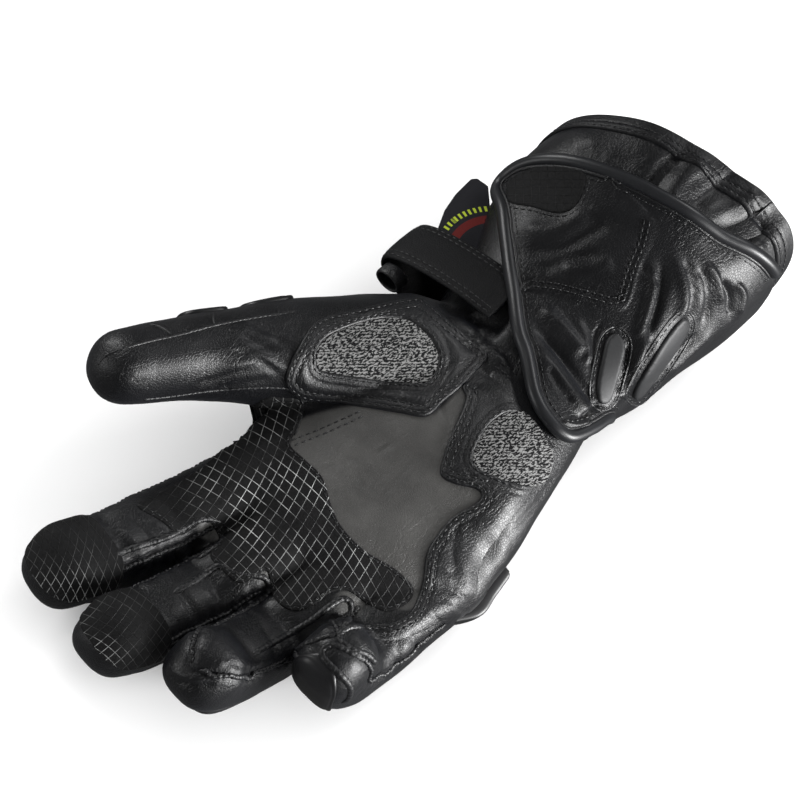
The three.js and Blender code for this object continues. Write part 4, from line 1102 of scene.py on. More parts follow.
FLAP_CREASES = (
    (-1.5, 3.6, ((682, 256), (692, 276), (695, 300), (688, 326))),
    (1.0, 4.5, ((674, 256), (682, 280), (684, 304), (676, 322))),
    (-1.0, 3.0, ((698, 264), (706, 282), (708, 304), (702, 326))),
    (0.9, 4.0, ((704, 262), (716, 280), (720, 306))),
    (-1.0, 3.4, ((722, 280), (730, 296), (728, 316))),
    (0.8, 4.0, ((734, 282), (742, 296), (738, 316))),
    (-1.1, 3.6, ((660, 262), (664, 284), (658, 312), (648, 338))),
    (0.9, 5.0, ((650, 262), (652, 286), (644, 316), (632, 342))),
    (-0.6, 2.6, ((640, 266), (652, 276), (660, 284))),
    (-1.4, 4.0, ((654, 336), (648, 358), (636, 384), (624, 408))),
    (1.5, 6.0, ((645, 332), (637, 356), (624, 384), (614, 404))),
    (-1.1, 3.4, ((628, 342), (626, 366), (616, 396))),
    (-1.4, 4.2, ((538, 330), (560, 354), (582, 384), (598, 408))),
    (1.4, 8.0, ((540, 308), (566, 334), (584, 356))),
    (1.1, 7.0, ((534, 346), (556, 376), (580, 404), (594, 416))),
    (-0.8, 3.5, ((546, 366), (560, 388), (572, 404))),
    (-0.9, 3.0, ((580, 420), (590, 410), (604, 404))),
    (0.7, 4.0, ((560, 420), (574, 424), (590, 420))),
    (-0.8, 7.0, ((522, 252), (556, 250), (592, 232), (612, 220))),
    (0.9, 9.0, ((520, 232), (556, 232), (590, 214))),
    (-0.6, 6.0, ((536, 272), (566, 262), (600, 256))),
    (0.7, 8.0, ((560, 272), (590, 268), (614, 264))),
    (-0.9, 4.0, ((700, 332), (676, 356), (652, 382))),
    (0.8, 5.0, ((712, 330), (690, 352), (664, 376))),
    (-0.5, 2.4, ((600, 322), (592, 344), (590, 372))),
    (0.6, 5.0, ((574, 318), (586, 342), (588, 366))),
)


# Hand

def capped(grid):
    """A tube's grid with a ring drawn together at each end."""
    ends = [np.repeat(grid[k].mean(0)[None], grid.shape[1], 0)[None] for k in (0, -1)]
    return np.vstack([ends[0], grid, ends[1]])


SKIN_VOXEL = 1.4


def hand_form():
    """Hand and fingers as closed tubes, melted into one skin and cut open at the wrist."""
    parts = []
    turn, y = np.meshgrid(np.linspace(0, 2 * np.pi, 140, endpoint=False),
                          np.concatenate([np.linspace(-24, -13, 9), np.linspace(-11, 112, 90)]))
    parts.append(capped(body_point(turn, y, 0)))
    for name in FINGERS:
        end = finger_end(name)
        s = np.concatenate([np.linspace(-20, end - 14, 70), end - 14 * (1 - np.linspace(0.05, 1, 26) ** 0.6)])
        angle, s = np.meshgrid(np.linspace(0, 2 * np.pi, 56, endpoint=False), s)
        parts.append(capped(finger_point(name, s, angle, 0)))
    points, faces, start = [], [], 0
    for grid in parts:
        flat = grid.reshape(-1, 3)
        own = grid_faces(*grid.shape[:2], wrap=True)
        if volume(flat, own) < 0:
            own = own[:, ::-1]
        points.append(flat)
        faces.append(own + start)
        start += len(flat)
    rough = add_object("rough_hand", make_mesh("rough_hand", np.vstack(points), np.vstack(faces)))
    melt = rough.modifiers.new("melt", "REMESH")
    melt.mode = "VOXEL"
    melt.voxel_size = SKIN_VOXEL
    melt.use_smooth_shade = True
    soften = rough.modifiers.new("soften", "SMOOTH")
    soften.factor = 0.5
    soften.iterations = 7
    mesh = bpy.data.meshes.new_from_object(rough.evaluated_get(bpy.context.evaluated_depsgraph_get()))
    bpy.data.objects.remove(rough)
    work = bmesh.new()
    work.from_mesh(mesh)
    every = work.verts[:] + work.edges[:] + work.faces[:]
    bmesh.ops.bisect_plane(work, geom=every, plane_co=(0, HAND_LENGTH, 0), plane_no=(0, 1, 0),
                           clear_outer=True)
    work.to_mesh(mesh)
    work.free()
    points, normals = mesh_arrays(mesh)
    height = photo_relief(points, normals, HAND_CREASES) + wobble(points, 26, 0.7, 3) + puckers(points)
    points = points + normals * (height * smooth_step((HAND_LENGTH - points[:, 1]) / 8))[:, None]
    points[:, 2] = np.maximum(points[:, 2], 0.05)
    mesh.vertices.foreach_set("co", points.astype(np.float32).ravel())
    mesh.update()
    mesh.polygons.foreach_set("use_smooth", np.ones(len(mesh.polygons), bool))
    return mesh


SUEDE_AREAS = (
    ((286, 444), (300, 420), (366, 404), (430, 414), (462, 384), (468, 392), (444, 466), (484, 492),
     (452, 522), (426, 556), (424, 604), (380, 604), (320, 560), (296, 470)),
    ((196, 524), (214, 512), (234, 520), (234, 540), (206, 540)),
    ((254, 572), (268, 560), (288, 568), (286, 584), (262, 584)),
    ((334, 600), (346, 590), (364, 602), (356, 614), (338, 612)),
)


def hand_skin(mesh):
    """The leather shell of the hand, its wall turned inwards, with the palm's own leather marked."""
    points, normals = mesh_arrays(mesh)
    seen = to_photo(points)[:, :2]
    faced = (normals * unit(CAMERA_PLACE - points)).sum(-1) > 0.05
    suede = np.zeros(len(points))
    for area in SUEDE_AREAS:
        edge = smooth_path(area, 3.0, closed=True)
        near = (np.abs(seen - edge.mean(0)) < np.ptp(edge, 0)).all(1) & faced
        gap, _ = to_path(seen[near], edge, closed=True)
        signed = np.where(inside(seen[near], edge), gap, -gap)
        suede[near] = np.maximum(suede[near], smooth_step(signed / 5 + 0.5))
    skin = mesh.copy()
    skin.name = "hand_skin"
    skin.vertices.foreach_set("co", ((points + SHIFT) * MILLIMETRE).astype(np.float32).ravel())
    skin.update()
    set_number(skin, "suede", suede)
    thing = add_object("hand_skin", skin)
    dress(thing, palm_hide,
          ("hand_shell", "index_finger", "middle_finger", "ring_finger", "pinky_finger", "thumb_tube"))
    thicken(thing, WALL)


# Cuff

CUFF_TURNS = np.linspace(0, 2 * np.pi, 300, endpoint=False)
HEM_FRONT = 180.9
HEM_BACK = 189.2
# Stitch rows of the hem. Columns: y, growth, depth of the groove under the stitches.
HEM_ROWS = ((182.6, 0.75, 0.35), (185.2, 0.9, 0.25))


def merged(thing, reach=1e-6):
    """Joins the vertices that lie on one another, and turns the faces outwards again."""
    work = bmesh.new()
    work.from_mesh(thing.data)
    bmesh.ops.remove_doubles(work, verts=work.verts[:], dist=reach)
    bmesh.ops.recalc_face_normals(work, faces=work.faces[:])
    work.to_mesh(thing.data)
    work.free()
    return thing


def round_piece(name, grid, material, nodes, reach=1e-6):
    """A piece from a grid whose last column meets its first, with its doubled points joined."""
    faces = grid_faces(*grid.shape[:2], wrap=True)
    merged(piece(name, grid.reshape(-1, 3), faces, material, nodes), reach)


def cuff_ring(name, profile, relief, nodes):
    """A closed section, rows of y and growth, carried round the cuff; relief raises it at each turn."""
    y, grow = profile[:, 0:1], profile[:, 1:2]
    grid = body_point(CUFF_TURNS[None, :] + 0 * y, y + 0 * CUFF_TURNS[None, :], grow + relief)
    round_piece(name, np.vstack([grid, grid[:1]]), cuff_hide, nodes)


def cuff_relief(y, turns):
    """Fine folds of the cuff at each y and turn, worked out on its outer face."""
    turn, station = np.meshgrid(turns, y)
    face = body_point(turn, station, 0)
    normals = grid_normals(face, wrap=True)
    outward = ((face - face.mean(1, keepdims=True)) * normals).sum() > 0
    normals = normals if outward else -normals
    flat = face.reshape(-1, 3)
    height = photo_relief(flat, normals.reshape(-1, 3), CUFF_CREASES) + wobble(flat, 30, 0.9, 5)
    return height.reshape(face.shape[:2])


def gauntlet_cuff():
    """The cuff's ring: its front edge laps over the hand, its wall follows the folds."""
    main = np.linspace(104, 182, 110)
    front = [(98.2, 0.12), (98.3, 0.5), (98.8, 0.8), (100, 0.85), (102, 0.75)]
    outer = np.vstack([front, np.column_stack([main, 0.6 * np.exp(-(main - 104) / 8)])])
    back = np.column_stack([np.linspace(182, 102, 60), np.full(60, -WALL)])
    profile = np.vstack([outer, back, [(100.5, -1.7), (100.4, 0.1)]])
    relief = cuff_relief(profile[:, 0], CUFF_TURNS) * smooth_step((profile[:, 0:1] - 100) / 10)
    cuff_ring("gauntlet_leather", profile, relief, ("gauntlet_cuff",))


def cuff_hem():
    """The turned hem: a thicker band with a round lip and a groove along each stitch row."""
    y = np.linspace(HEM_FRONT, HEM_BACK, 34)
    outer = 0.1 + 1.0 * np.sqrt(1 - (1 - np.clip((y - HEM_FRONT) / 1.2, 0, 1)) ** 2)
    for row_y, _, groove in HEM_ROWS:
        outer -= groove * bell(y - row_y, 0.4)
    lip = np.linspace(0.2, np.pi - 0.2, 9)
    round_lip = np.column_stack([HEM_BACK + 0.9 * np.sin(lip), -0.75 + 1.85 * np.cos(lip)])
    inner = np.column_stack([np.linspace(HEM_BACK, HEM_FRONT, 14), np.full(14, -2.4)])
    profile = np.vstack([np.column_stack([y, outer]), round_lip, inner])
    cuff_ring("hem_band", profile, cuff_relief(profile[:, 0], CUFF_TURNS), ("cuff_hem",))


# Flap

def flap_rows(count):
    """The flap's table as smooth columns: y, from and to in radians."""
    table = np.column_stack([HAND_LENGTH + FLAP_ROWS[:, 0] * CUFF_LENGTH, np.radians(FLAP_ROWS[:, 1:])])
    scale = np.array([1, CUFF_WIDTH / 2, CUFF_WIDTH / 2])
    path = smooth_path(table * scale, 0.5) / scale
    where = np.linspace(0, len(path) - 1, count)
    return np.stack([np.interp(where, np.arange(len(path)), path[:, k]) for k in range(3)])


def flap_grid(grow, relief, rows=170, columns=150):
    """Rows across the flap, each from one turn to another, at a growth."""
    y, start, stop = flap_rows(rows)
    share = np.linspace(0, 1, columns)[None, :]
    turn = start[:, None] + (stop - start)[:, None] * share
    return body_point(turn, y[:, None] + 0 * share, grow + relief)


FOLD_DEPTH = 1.45


def flap_relief():
    """Folds and puckers of the flap, and the low step where its corner piece is sewn over."""
    face = flap_grid(FLAP_TOP, 0)
    normals = grid_normals(face)
    flat = face.reshape(-1, 3)
    outward = ((flat - flat.mean(0)) * normals.reshape(-1, 3)).sum() > 0
    normals = (normals if outward else -normals).reshape(-1, 3)
    height = FOLD_DEPTH * photo_relief(flat, normals, FLAP_CREASES) + wobble(flat, 28, 0.8, 9)
    seen = to_photo(flat)[:, :2]
    seam = smooth_path(CORNER_PIECE_SEAM, 3.0)
    area = np.vstack([seam, [(500, 290), (480, 180), (560, 140), (600, 160)]])
    gap, _ = to_path(seen, seam)
    signed = np.where(inside(seen, area), gap, -gap)
    step = 0.7 * smooth_step(signed / 3 + 0.5)
    height += step - 0.5 * bell(signed - 4.5, 1.5) - 0.5 * bell(signed - 10, 1.5)
    return height.reshape(face.shape[:2])


CORNER_PIECE_SEAM = ((654, 222), (648, 246), (638, 270), (627, 304), (612, 308), (584, 301), (556, 294),
                     (530, 291))


def cuff_flap():
    """The closing flap, a sheet over the cuff's palm side. Gives back its outer face as a carrier."""
    relief = flap_relief()
    outer = flap_grid(FLAP_TOP, relief)
    inner = flap_grid(FLAP_UNDER, relief)
    points = shell_points(outer, inner)
    piece("flap_leather", points, shell_faces(*outer.shape[:2]), cuff_hide, ("cuff_flap",))
    face = grid_faces(*outer.shape[:2])
    flat = outer.reshape(-1, 3)
    lean = np.cross(flat[face[:, 1]] - flat[face[:, 0]], flat[face[:, 2]] - flat[face[:, 1]])
    if (lean * (flat[face[:, 0]] - flat.mean(0))).sum() < 0:
        face = face[:, ::-1]
    return Carrier("flap", make_mesh("flap_outside", flat, face))


def piping_line():
    """The flap's bound edge: its free side from the cuff's end down, then round the low corner."""
    y, start, stop = flap_rows(240)
    corner = np.interp(HAND_LENGTH + FLAP_ROWS[FLAP_CORNER_ROWS - 1, 0] * CUFF_LENGTH, y, np.arange(240))
    low = np.arange(240) <= corner
    turn = np.concatenate([stop[::-1], start[low]])
    station = np.concatenate([y[::-1], y[low]])
    return even_path(body_point(turn, station, FLAP_UNDER + PIPING_RADIUS), 0.8)


def tube(name, path, radius, material, nodes, sides=20, taper=4.0):
    """A round bead along a line, its ends drawn in."""
    way = unit(np.gradient(path, axis=0))
    ahead = unit(np.cross(way, (0.3, 0.2, 1.0)))
    up = np.cross(ahead, way)
    run = np.concatenate([[0], np.cumsum(np.linalg.norm(np.diff(path, axis=0), axis=1))])
    ends = np.minimum(run, run[-1] - run)
    size = radius * np.sqrt(np.clip(ends / taper, 0, 1) * (2 - np.clip(ends / taper, 0, 1)) + 1e-4)
    angle = np.linspace(0, 2 * np.pi, sides, endpoint=False)[None, :, None]
    ring = np.cos(angle) * ahead[:, None] + np.sin(angle) * up[:, None]
    round_piece(name, capped(path[:, None] + size[:, None, None] * ring), material, nodes)


def flap_edge(sewing, flap_face):
    """Piping round the flap, the welt beside it and the stitch row that holds it."""
    path = smooth_ends(piping_line())
    tube("flap_bead", path[:-17], PIPING_SHOWN, piping_hide, ("flap_piping",))
    way = unit(np.gradient(path, axis=0))
    on, normals = flap_face.nearest(path)
    inward = np.cross(way, normals)
    middle = on.mean(0)
    if (inward * (middle - path)).sum() < 0:
        inward = -inward
    for offset, kind in ((2.7, "welt"), (4.6, "row")):
        places, normals = flap_face.nearest(path + inward * offset - normals * 0.5)
        if kind == "welt":
            sewing.ridge(places[3:-16], normals[3:-16], 0.75, -0.05)
        else:
            sewing.row(places[3:-16], normals[3:-16], 0.05)


def smooth_ends(path, passes=10):
    """A line evened out by averaging each point with its neighbours, its ends kept."""
    path = path.copy()
    for _ in range(passes):
        path[1:-1] = 0.5 * path[1:-1] + 0.25 * (path[:-2] + path[2:])
    return path


# Pieces on the flap, as outlines in the photograph
CORNER_PATCH_TOP = ((509, 180), (537, 166), (562, 162), (586, 174))
CORNER_PATCH = CORNER_PATCH_TOP + ((582, 196), (572, 210), (556, 214), (532, 208), (508, 202))
RIBS = {
    "flap_rib_1": ((615, 333), (623, 340), (624, 352), (618, 376), (611, 398), (604, 404), (597, 400),
                   (596, 384), (601, 358), (606, 340)),
    "flap_rib_2": ((682, 318), (688, 322), (685, 334), (670, 359), (650, 386), (639, 398), (632, 397),
                   (636, 384), (652, 357), (670, 330)),
}


def flap_trims(sewing, flap_face):
    """The textured corner patch and the two padded ribs."""
    laid_panel("corner_patch", flap_face, CORNER_PATCH, cuff_print, ("flap_corner_patch",),
               top=0.55, rows=(), uv=lambda flat: flat / 8.0)
    edge = smooth_path(CORNER_PATCH, OUTLINE_STEP, closed=True)
    sew_loop(sewing, flap_face, edge, -0.9, 0.1, skip=CORNER_PATCH_TOP, reach=6)
    for name, outline in RIBS.items():
        laid_panel(name + "_pad", flap_face, outline, rib_hide, (name,), top=1.3, puff=1.2,
                   rows=(), spacing=2.0)
        edge = smooth_path(outline, OUTLINE_STEP, closed=True)
        sew_loop(sewing, flap_face, edge, -1.3, 0.0)
        path = inset_points(edge, -2.3 * PIXELS_PER_MM)
        if len(path) > 8:
            places, normals = flap_face.under_pixels(np.vstack([path, path[:1]]))
            sewing.ridge(places, normals, 0.55, -0.25)
    side = (4.5, 10.0)
    sew_line(sewing, flap_face, CORNER_PIECE_SEAM[:4], 0.35, side)
    sew_line(sewing, flap_face, CORNER_PIECE_SEAM[3:], 0.35, side)


# Palm panels, as outlines in the photograph
HEEL_PANEL = ((285, 374), (296, 350), (316, 322), (352, 311), (412, 299), (426, 303), (447, 320), (470, 339),
              (488, 356), (472, 376), (460, 389), (444, 402), (426, 417), (396, 413), (352, 406), (312, 401),
              (296, 396), (286, 386))
THUMB_KNIT = ((319, 346), (334, 334), (369, 322), (401, 320), (420, 330), (432, 344), (437, 360), (428, 382),
              (400, 382), (360, 376), (322, 370), (316, 360))
HEEL_KNIT = ((500, 417), (512, 413), (526, 415), (541, 434), (551, 458), (541, 482), (514, 483), (481, 470),
             (473, 457), (485, 431))
OUTER_INNER_EDGE = ((462, 386), (465, 398), (460, 414), (450, 437), (440, 466), (442, 478), (456, 485),
                    (474, 489), (481, 496), (473, 505), (452, 517), (436, 536), (426, 554), (422, 582),
                    (413, 607), (402, 618), (383, 625), (346, 629))
OUTER_FADING_EDGE = ((350, 640), (380, 652), (412, 648), (440, 636), (470, 618), (488, 596), (492, 566),
                     (510, 540), (536, 504), (560, 466), (566, 444), (548, 424), (530, 398), (520, 372),
                     (500, 362), (488, 356), (478, 372))
GRIP = ((262, 399), (282, 397), (299, 400), (303, 413), (297, 430), (291, 445), (306, 460), (323, 478),
        (333, 509), (344, 529), (366, 551), (396, 569), (414, 588), (407, 604), (386, 612), (366, 604),
        (352, 594), (343, 591), (330, 594), (314, 606), (296, 612), (280, 606), (270, 592), (266, 572),
        (252, 580), (238, 584), (222, 572), (209, 556), (218, 540), (206, 521), (192, 530), (178, 536),
        (160, 522), (136, 506), (160, 492), (186, 478), (208, 462), (228, 440), (244, 418))
GRIP_FREE_EDGE = ((136, 506), (160, 492), (186, 478), (208, 462), (228, 440), (244, 418), (262, 399))
RIB_CIRCLES = {
    "palm": ((60, 760), 10.4, (-30, 324), 9.6),
    "index": ((-70, 663), 8.6, (-80, 510), 8.6),
    "middle": ((50, 720), 8.8, (0, 525), 8.8),
}


def rib_count(flat, area):
    """Number of rib spacings between a pixel and each of two far points, so that ribs are slow arcs."""
    (x1, y1), step1, (x2, y2), step2 = RIB_CIRCLES[area]
    first = np.hypot(flat[:, 0] - x1, flat[:, 1] - y1) / step1
    second = np.hypot(flat[:, 0] - x2, flat[:, 1] - y2) / step2
    return np.column_stack([first, second])


def palm_panels(sewing, face):
    """Overlay panels, knit windows and the printed grip."""
    edge, holes = laid_panel("heel_panel", face, HEEL_PANEL, panel_hide, ("thumb_heel_panel",),
                             windows=[THUMB_KNIT], puff=0.7)
    for row in STITCH_ROWS:
        sew_loop(sewing, face, edge, row, PANEL_TOP - 0.15)
    sew_loop(sewing, face, holes[0], -1.2, PANEL_TOP - 0.05)
    laid_panel("thumb_knit", face, grown_outline(THUMB_KNIT, 2.5), knit, ("thumb_knit_patch",),
               top=0.75, puff=0.5, rows=())
    outer = OUTER_INNER_EDGE + OUTER_FADING_EDGE
    edge, holes = laid_panel("outer_panel", face, outer, panel_hide, ("outer_side_panel",),
                             windows=[HEEL_KNIT], fade=OUTER_FADING_EDGE)
    for row in STITCH_ROWS:
        sew_loop(sewing, face, edge, row, PANEL_TOP - 0.15, skip=OUTER_FADING_EDGE, reach=14)
    sew_loop(sewing, face, holes[0], -1.2, PANEL_TOP - 0.05, skip=OUTER_FADING_EDGE, reach=27)
    laid_panel("heel_knit", face, grown_outline(HEEL_KNIT, 2.5), knit, ("heel_knit_patch",),
               top=0.75, puff=0.5, rows=())
    edge, _ = laid_panel("palm_grip", face, GRIP, palm_print, ("grip_patch",), top=0.75, rows=(1.3,),
                         uv=lambda flat: rib_count(flat, "palm"))
    # Painted highlight and wear on the palm grip's printed ribs.
    rub_and_highlight_mark(bpy.data.objects["palm_grip"], PALM_RUB_AND_HIGHLIGHT)
    sew_loop(sewing, face, edge, 1.3, 0.6, skip=GRIP_FREE_EDGE, reach=8)


def rub_and_highlight_mark(thing, spots):
    """Where the printed ribs show brighter, partly wear and partly painted highlight, as a per-vertex
    attribute: a bell round each pixel, of its own reach.
    """
    points, _ = mesh_arrays(thing.data)
    seen = to_photo(points / MILLIMETRE - SHIFT)[:, :2]
    rub_and_highlight = sum(share * bell(np.hypot(seen[:, 0] - x, seen[:, 1] - y), reach) for x, y, reach, share in spots)
    set_number(thing.data, "rub_and_highlight", np.clip(rub_and_highlight, 0, 1))


# Spots where the printed ribs show brighter: partly wear, partly painted highlight. Columns: pixel across
# # and down, reach in pixels, share
PALM_RUB_AND_HIGHLIGHT = ((298, 492, 46, 1.0), (232, 492, 30, 0.9), (262, 530, 34, 0.9), (352, 560, 50, 0.6),
            (270, 430, 34, 0.4))
INDEX_RUB_AND_HIGHLIGHT = ((84, 590, 26, 1.0), (40, 592, 20, 0.5))
MIDDLE_RUB_AND_HIGHLIGHT = ((98, 642, 26, 0.7),)


def grown_outline(outline, margin):
    """The outline moved outwards from its middle by a margin."""
    points = np.array(outline, float)
    away = points - points.mean(0)
    size = np.linalg.norm(away, axis=1, keepdims=True)
    return points.mean(0) + away * (size + margin) / size


# Pieces on the fingers

def finger_tip_grip(name, finger, start, nodes):
    """Printed cap over the palm side of a fingertip, from one share of the finger's length to its tip."""
    end = finger_end(finger)
    top, sunk = 0.75, -0.6
    angle = np.radians(np.linspace(-6, 186, 90))[None, :]
    share = (1 - (1 - np.linspace(0, 1, 80)) ** 1.6)[:, None]
    lean = 0.03 * np.cos(angle)
    first = (start + lean) * end
    s = first + (end + top - first) * share
    from_start = s - first
    from_side = np.minimum(angle - angle.min(), angle.max() - angle) * FINGER_WIDTH / 2
    gap = np.minimum(from_start, from_side + 0 * s)
    grow = edge_roll(gap, top) - 0.25 * bell(gap - 1.4, 0.4)
    outer = finger_point(finger, s, angle + 0 * s, grow)
    inner = finger_point(finger, s, angle + 0 * s, sunk + 0 * s)
    points = shell_points(outer, inner)
    uv = rib_count(to_photo(points)[:, :2], finger)
    return piece(name, points, shell_faces(*outer.shape[:2]), tip_print, nodes, uv)


def pad(name, point_at, length, half_angle, top, material, nodes, squareness=3.4, rings=26, sides=72):
    """A crowned pad on a chart: rings of a squared circle, high in the middle and rolled over at the rim."""
    r = np.linspace(0, 1, rings)[:, None]
    angle = np.linspace(0, 2 * np.pi, sides, endpoint=False)[None, :]
    u = r * bulge(np.cos(angle), squareness)
    v = r * bulge(np.sin(angle), squareness)
    gap = (1 - r) * min(length, half_angle * FINGER_WIDTH / 2)
    grow = edge_roll(gap, 0.62 * top, 1.0, 0.5) + 0.38 * top * (1 - r ** 2) - 0.22 * bell(gap - 1.7, 0.4)
    outer = point_at(u, v, grow + 0 * angle)
    inner = point_at(u, v, -0.9 + 0 * u)
    points = shell_points(outer, inner)
    return merged(piece(name, points, shell_faces(rings, sides, wrap=True), material, nodes))


# Columns: piece, CAD node, finger, from and to as shares of its length, half width, height
BACK_PADS = (
    ("index_back_pad", "index_back_panel", "index", 0.45, 0.80, 0.36, 1.8),
    ("middle_back_pad", "middle_back_panel", "middle", 0.45, 0.80, 0.36, 1.8),
    ("ring_back_pad", "ring_back_panel", "ring", 0.45, 0.82, 0.36, 1.8),
    ("pinky_back_pad", "pinky_back_panel", "pinky", 0.66, 0.98, 0.34, 0.8),
    ("thumb_back_1_pad", "thumb_back_patch_1", "thumb", 0.35, 0.52, 0.36, 1.5),
    ("thumb_back_2_pad", "thumb_back_patch_2", "thumb", 0.55, 0.70, 0.33, 1.5),
)


def back_pads():
    """Moulded pads on the backs of the fingers and thumb."""
    for name, cad_node, finger, start, stop, half, top in BACK_PADS:
        end = finger_end(finger)
        middle, length = (start + stop) / 2 * end, (stop - start) / 2 * end
        reach = 2 * half * 1.15

        def point_at(u, v, grow, finger=finger, middle=middle, length=length, reach=reach):
            return finger_point(finger, middle + u * length + 0 * v, 1.5 * np.pi + v * reach + 0 * u, grow)

        made = pad(name, point_at, length, reach, top, guard_hide, (cad_node,))


def knuckle_guard():
    """Guard over the knuckles on the back of the hand: four moulded swells with grooves between them."""
    rows, columns = 90, 190
    y = np.linspace(-11, 35, rows)[:, None]
    turn = np.radians(np.linspace(196, 356, columns))[None, :]
    base = body_point(turn + 0 * y, y + 0 * turn, 0)
    gap_y = np.minimum(y - y.min(), y.max() - y) + 0 * turn
    gap_turn = np.minimum(turn - turn.min(), turn.max() - turn) * HAND_WIDTH / 2.4 + 0 * y
    gap = np.minimum(gap_y, gap_turn)
    grow = edge_roll(gap, 3.3, 2.4, 0.5)
    for groove in (-20, 4, 27):
        grow -= 1.5 * bell(base[..., 0] - groove, 1.3) * smooth_step(gap / 5)
    grow -= 0.5 * bell(gap - 5.0, 0.6)
    outer = body_point(turn + 0 * y, y + 0 * turn, grow)
    inner = body_point(turn + 0 * y, y + 0 * turn, -0.9)
    points = shell_points(outer, inner)
    made = piece("knuckle_guard_pad", points, shell_faces(rows, columns), guard_hide,
                 ("knuckle_guard",))


# Wrist strap, keeper and tag
STRAP_ROUTE = ((-15, 56), (-28, 54.4), (-42, 50.8), (-54, 46), (-60.5, 40.8), (-60, 35.2), (-54, 31.2),
               (-46, 26.4), (-39.5, 20), (-36.5, 13.6))
# Stitch rows inside each edge of the strap, in millimetres
STRAP_ROWS = (1.4, 3.6)


def strap_grid(turn_of_section, squareness=5.0):
    """Rounded flat section carried along the route: wide along the glove, thin across it."""
    route = smooth_path(STRAP_ROUTE, 0.8)
    way = unit(np.gradient(route, axis=0))
    normal = np.column_stack([-way[:, 1], way[:, 0]])
    half = STRAP_WIDTH / 2
    u = bulge(np.cos(turn_of_section), squareness)[None, :]
    v = bulge(np.sin(turn_of_section), 2.6)[None, :]
    from_edge = (1 - np.abs(u)) * half
    grooves = sum(bell(from_edge - row, 0.45) for row in STRAP_ROWS)
    crown = 0.5 * (1 - u ** 2) - 0.22 * grooves
    thick = v * STRAP / 2 + np.where(v > 0, crown, 0) * np.abs(v)
    x = route[:, 0:1] + normal[:, 0:1] * -thick
    z = route[:, 1:2] + normal[:, 1:2] * -thick
    y = STRAP_START + half + half * u
    return np.stack([x, y + 0 * x, z], -1)


def wrist_strap(sewing):
    """The closing strap that stands off the wrist, with two stitch rows along each edge."""
    angle = np.linspace(0, 2 * np.pi, 72, endpoint=False)
    round_piece("strap_leather", capped(strap_grid(angle)), strap_hide, ("wrist_strap",))
    outside = strap_grid(np.linspace(0, np.pi, 41))
    normals = unit(np.cross(np.gradient(outside, axis=1), np.gradient(outside, axis=0)))
    middle = outside.reshape(-1, 3).mean(0)
    if (normals * (outside - (middle - (0, 0, 30)))).sum() < 0:
        normals = -normals
    across = np.abs(outside[len(outside) // 2, :, 1] - (STRAP_START + STRAP_WIDTH / 2))
    for inset in STRAP_ROWS:
        wanted = STRAP_WIDTH / 2 - inset
        left = np.abs(across[:20] - wanted).argmin()
        right = 21 + np.abs(across[21:] - wanted).argmin()
        for column in (left, right):
            sewing.row(outside[2:-2, column], normals[2:-2, column], 0.0)


def strap_keeper():
    """Small loop that holds the strap's end: a thin band round an ellipse."""
    turns = np.linspace(0, 2 * np.pi, 80)
    section = np.linspace(0, 2 * np.pi, 16, endpoint=False)
    place = np.stack([-53.5 + 4.8 * np.cos(turns), 0 * turns, 39.2 + 3.4 * np.sin(turns)], -1)
    out = np.stack([np.cos(turns), 0 * turns, np.sin(turns)], -1)
    grid = place[:, None] + out[:, None] * (0.7 * bulge(np.sin(section), 3))[None, :, None]
    grid[..., 1] += 83.7 + 2.9 * bulge(np.cos(section), 4)[None, :]
    round_piece("keeper_loop", grid, panel_hide, ("strap_keeper",), 1e-5)


LABEL_OUTLINE = ((-55.6, 110.9), (-59.3, 119.1), (-61.2, 127.2), (-62, 137.4), (-60.6, 139.4),
                 (-55.7, 140.2))


def woven_label():
    """The sewn-in tag: a flat woven piece, slightly curled."""
    turns = np.radians(np.linspace(100, 175, 300))
    root = []
    for y in np.linspace(137.5, 110.8, 8):
        wall = body_point(turns, y + 0 * turns, -0.5 * WALL)
        at = np.abs(wall[:, 2] - LABEL_HIGH).argmin()
        root.append((wall[at, 0], wall[at, 1]))
    outline = np.vstack([LABEL_OUTLINE, root, LABEL_OUTLINE[:1]])
    outline = even_path(outline, 1.0, closed=True)
    flat, faces = flat_panel(outline, [], 1.0, (0.4, 0.9))
    curl = 0.0016 * (flat[:, 0] + 48) ** 2
    points = np.column_stack([flat, LABEL_HIGH + LABEL + curl])
    a, b, c = (points[faces[:, k]] for k in range(3))
    if np.cross(b - a, c - a)[:, 2].sum() < 0:
        faces = faces[:, ::-1]
    middle = np.array([-30, 118])
    away = np.hypot(*(flat - middle).T)
    turn = np.arctan2(flat[:, 1] - middle[1], flat[:, 0] - middle[0])
    uv = np.column_stack([34 - away, turn * 26])
    made = piece("woven_tag", points, faces, tag_weave, ("label_tag",), uv, closed=False)
    thicken(made, LABEL)


# Seams of the hand

# Overcast seams of the fingers: where they start, and their angle round the finger
FINGER_SEAMS = (
    ("index", 6, 16), ("index", 30, 149), ("middle", 30, 24), ("middle", 32, 150),
    ("ring", 32, 30), ("ring", 30, 150), ("pinky", 26, 24), ("pinky", 4, 165),
)


def seam_places(name, start, angle):
    """Middle line of a finger's seam, from near its root to just round its tip."""
    end = finger_end(name)
    s = np.concatenate([np.linspace(start, end - 12, 60), end - 12 * (1 - np.linspace(0.05, 1, 30) ** 0.7)])
    return finger_point(name, s, np.radians(angle) + 0 * s, 0.2)


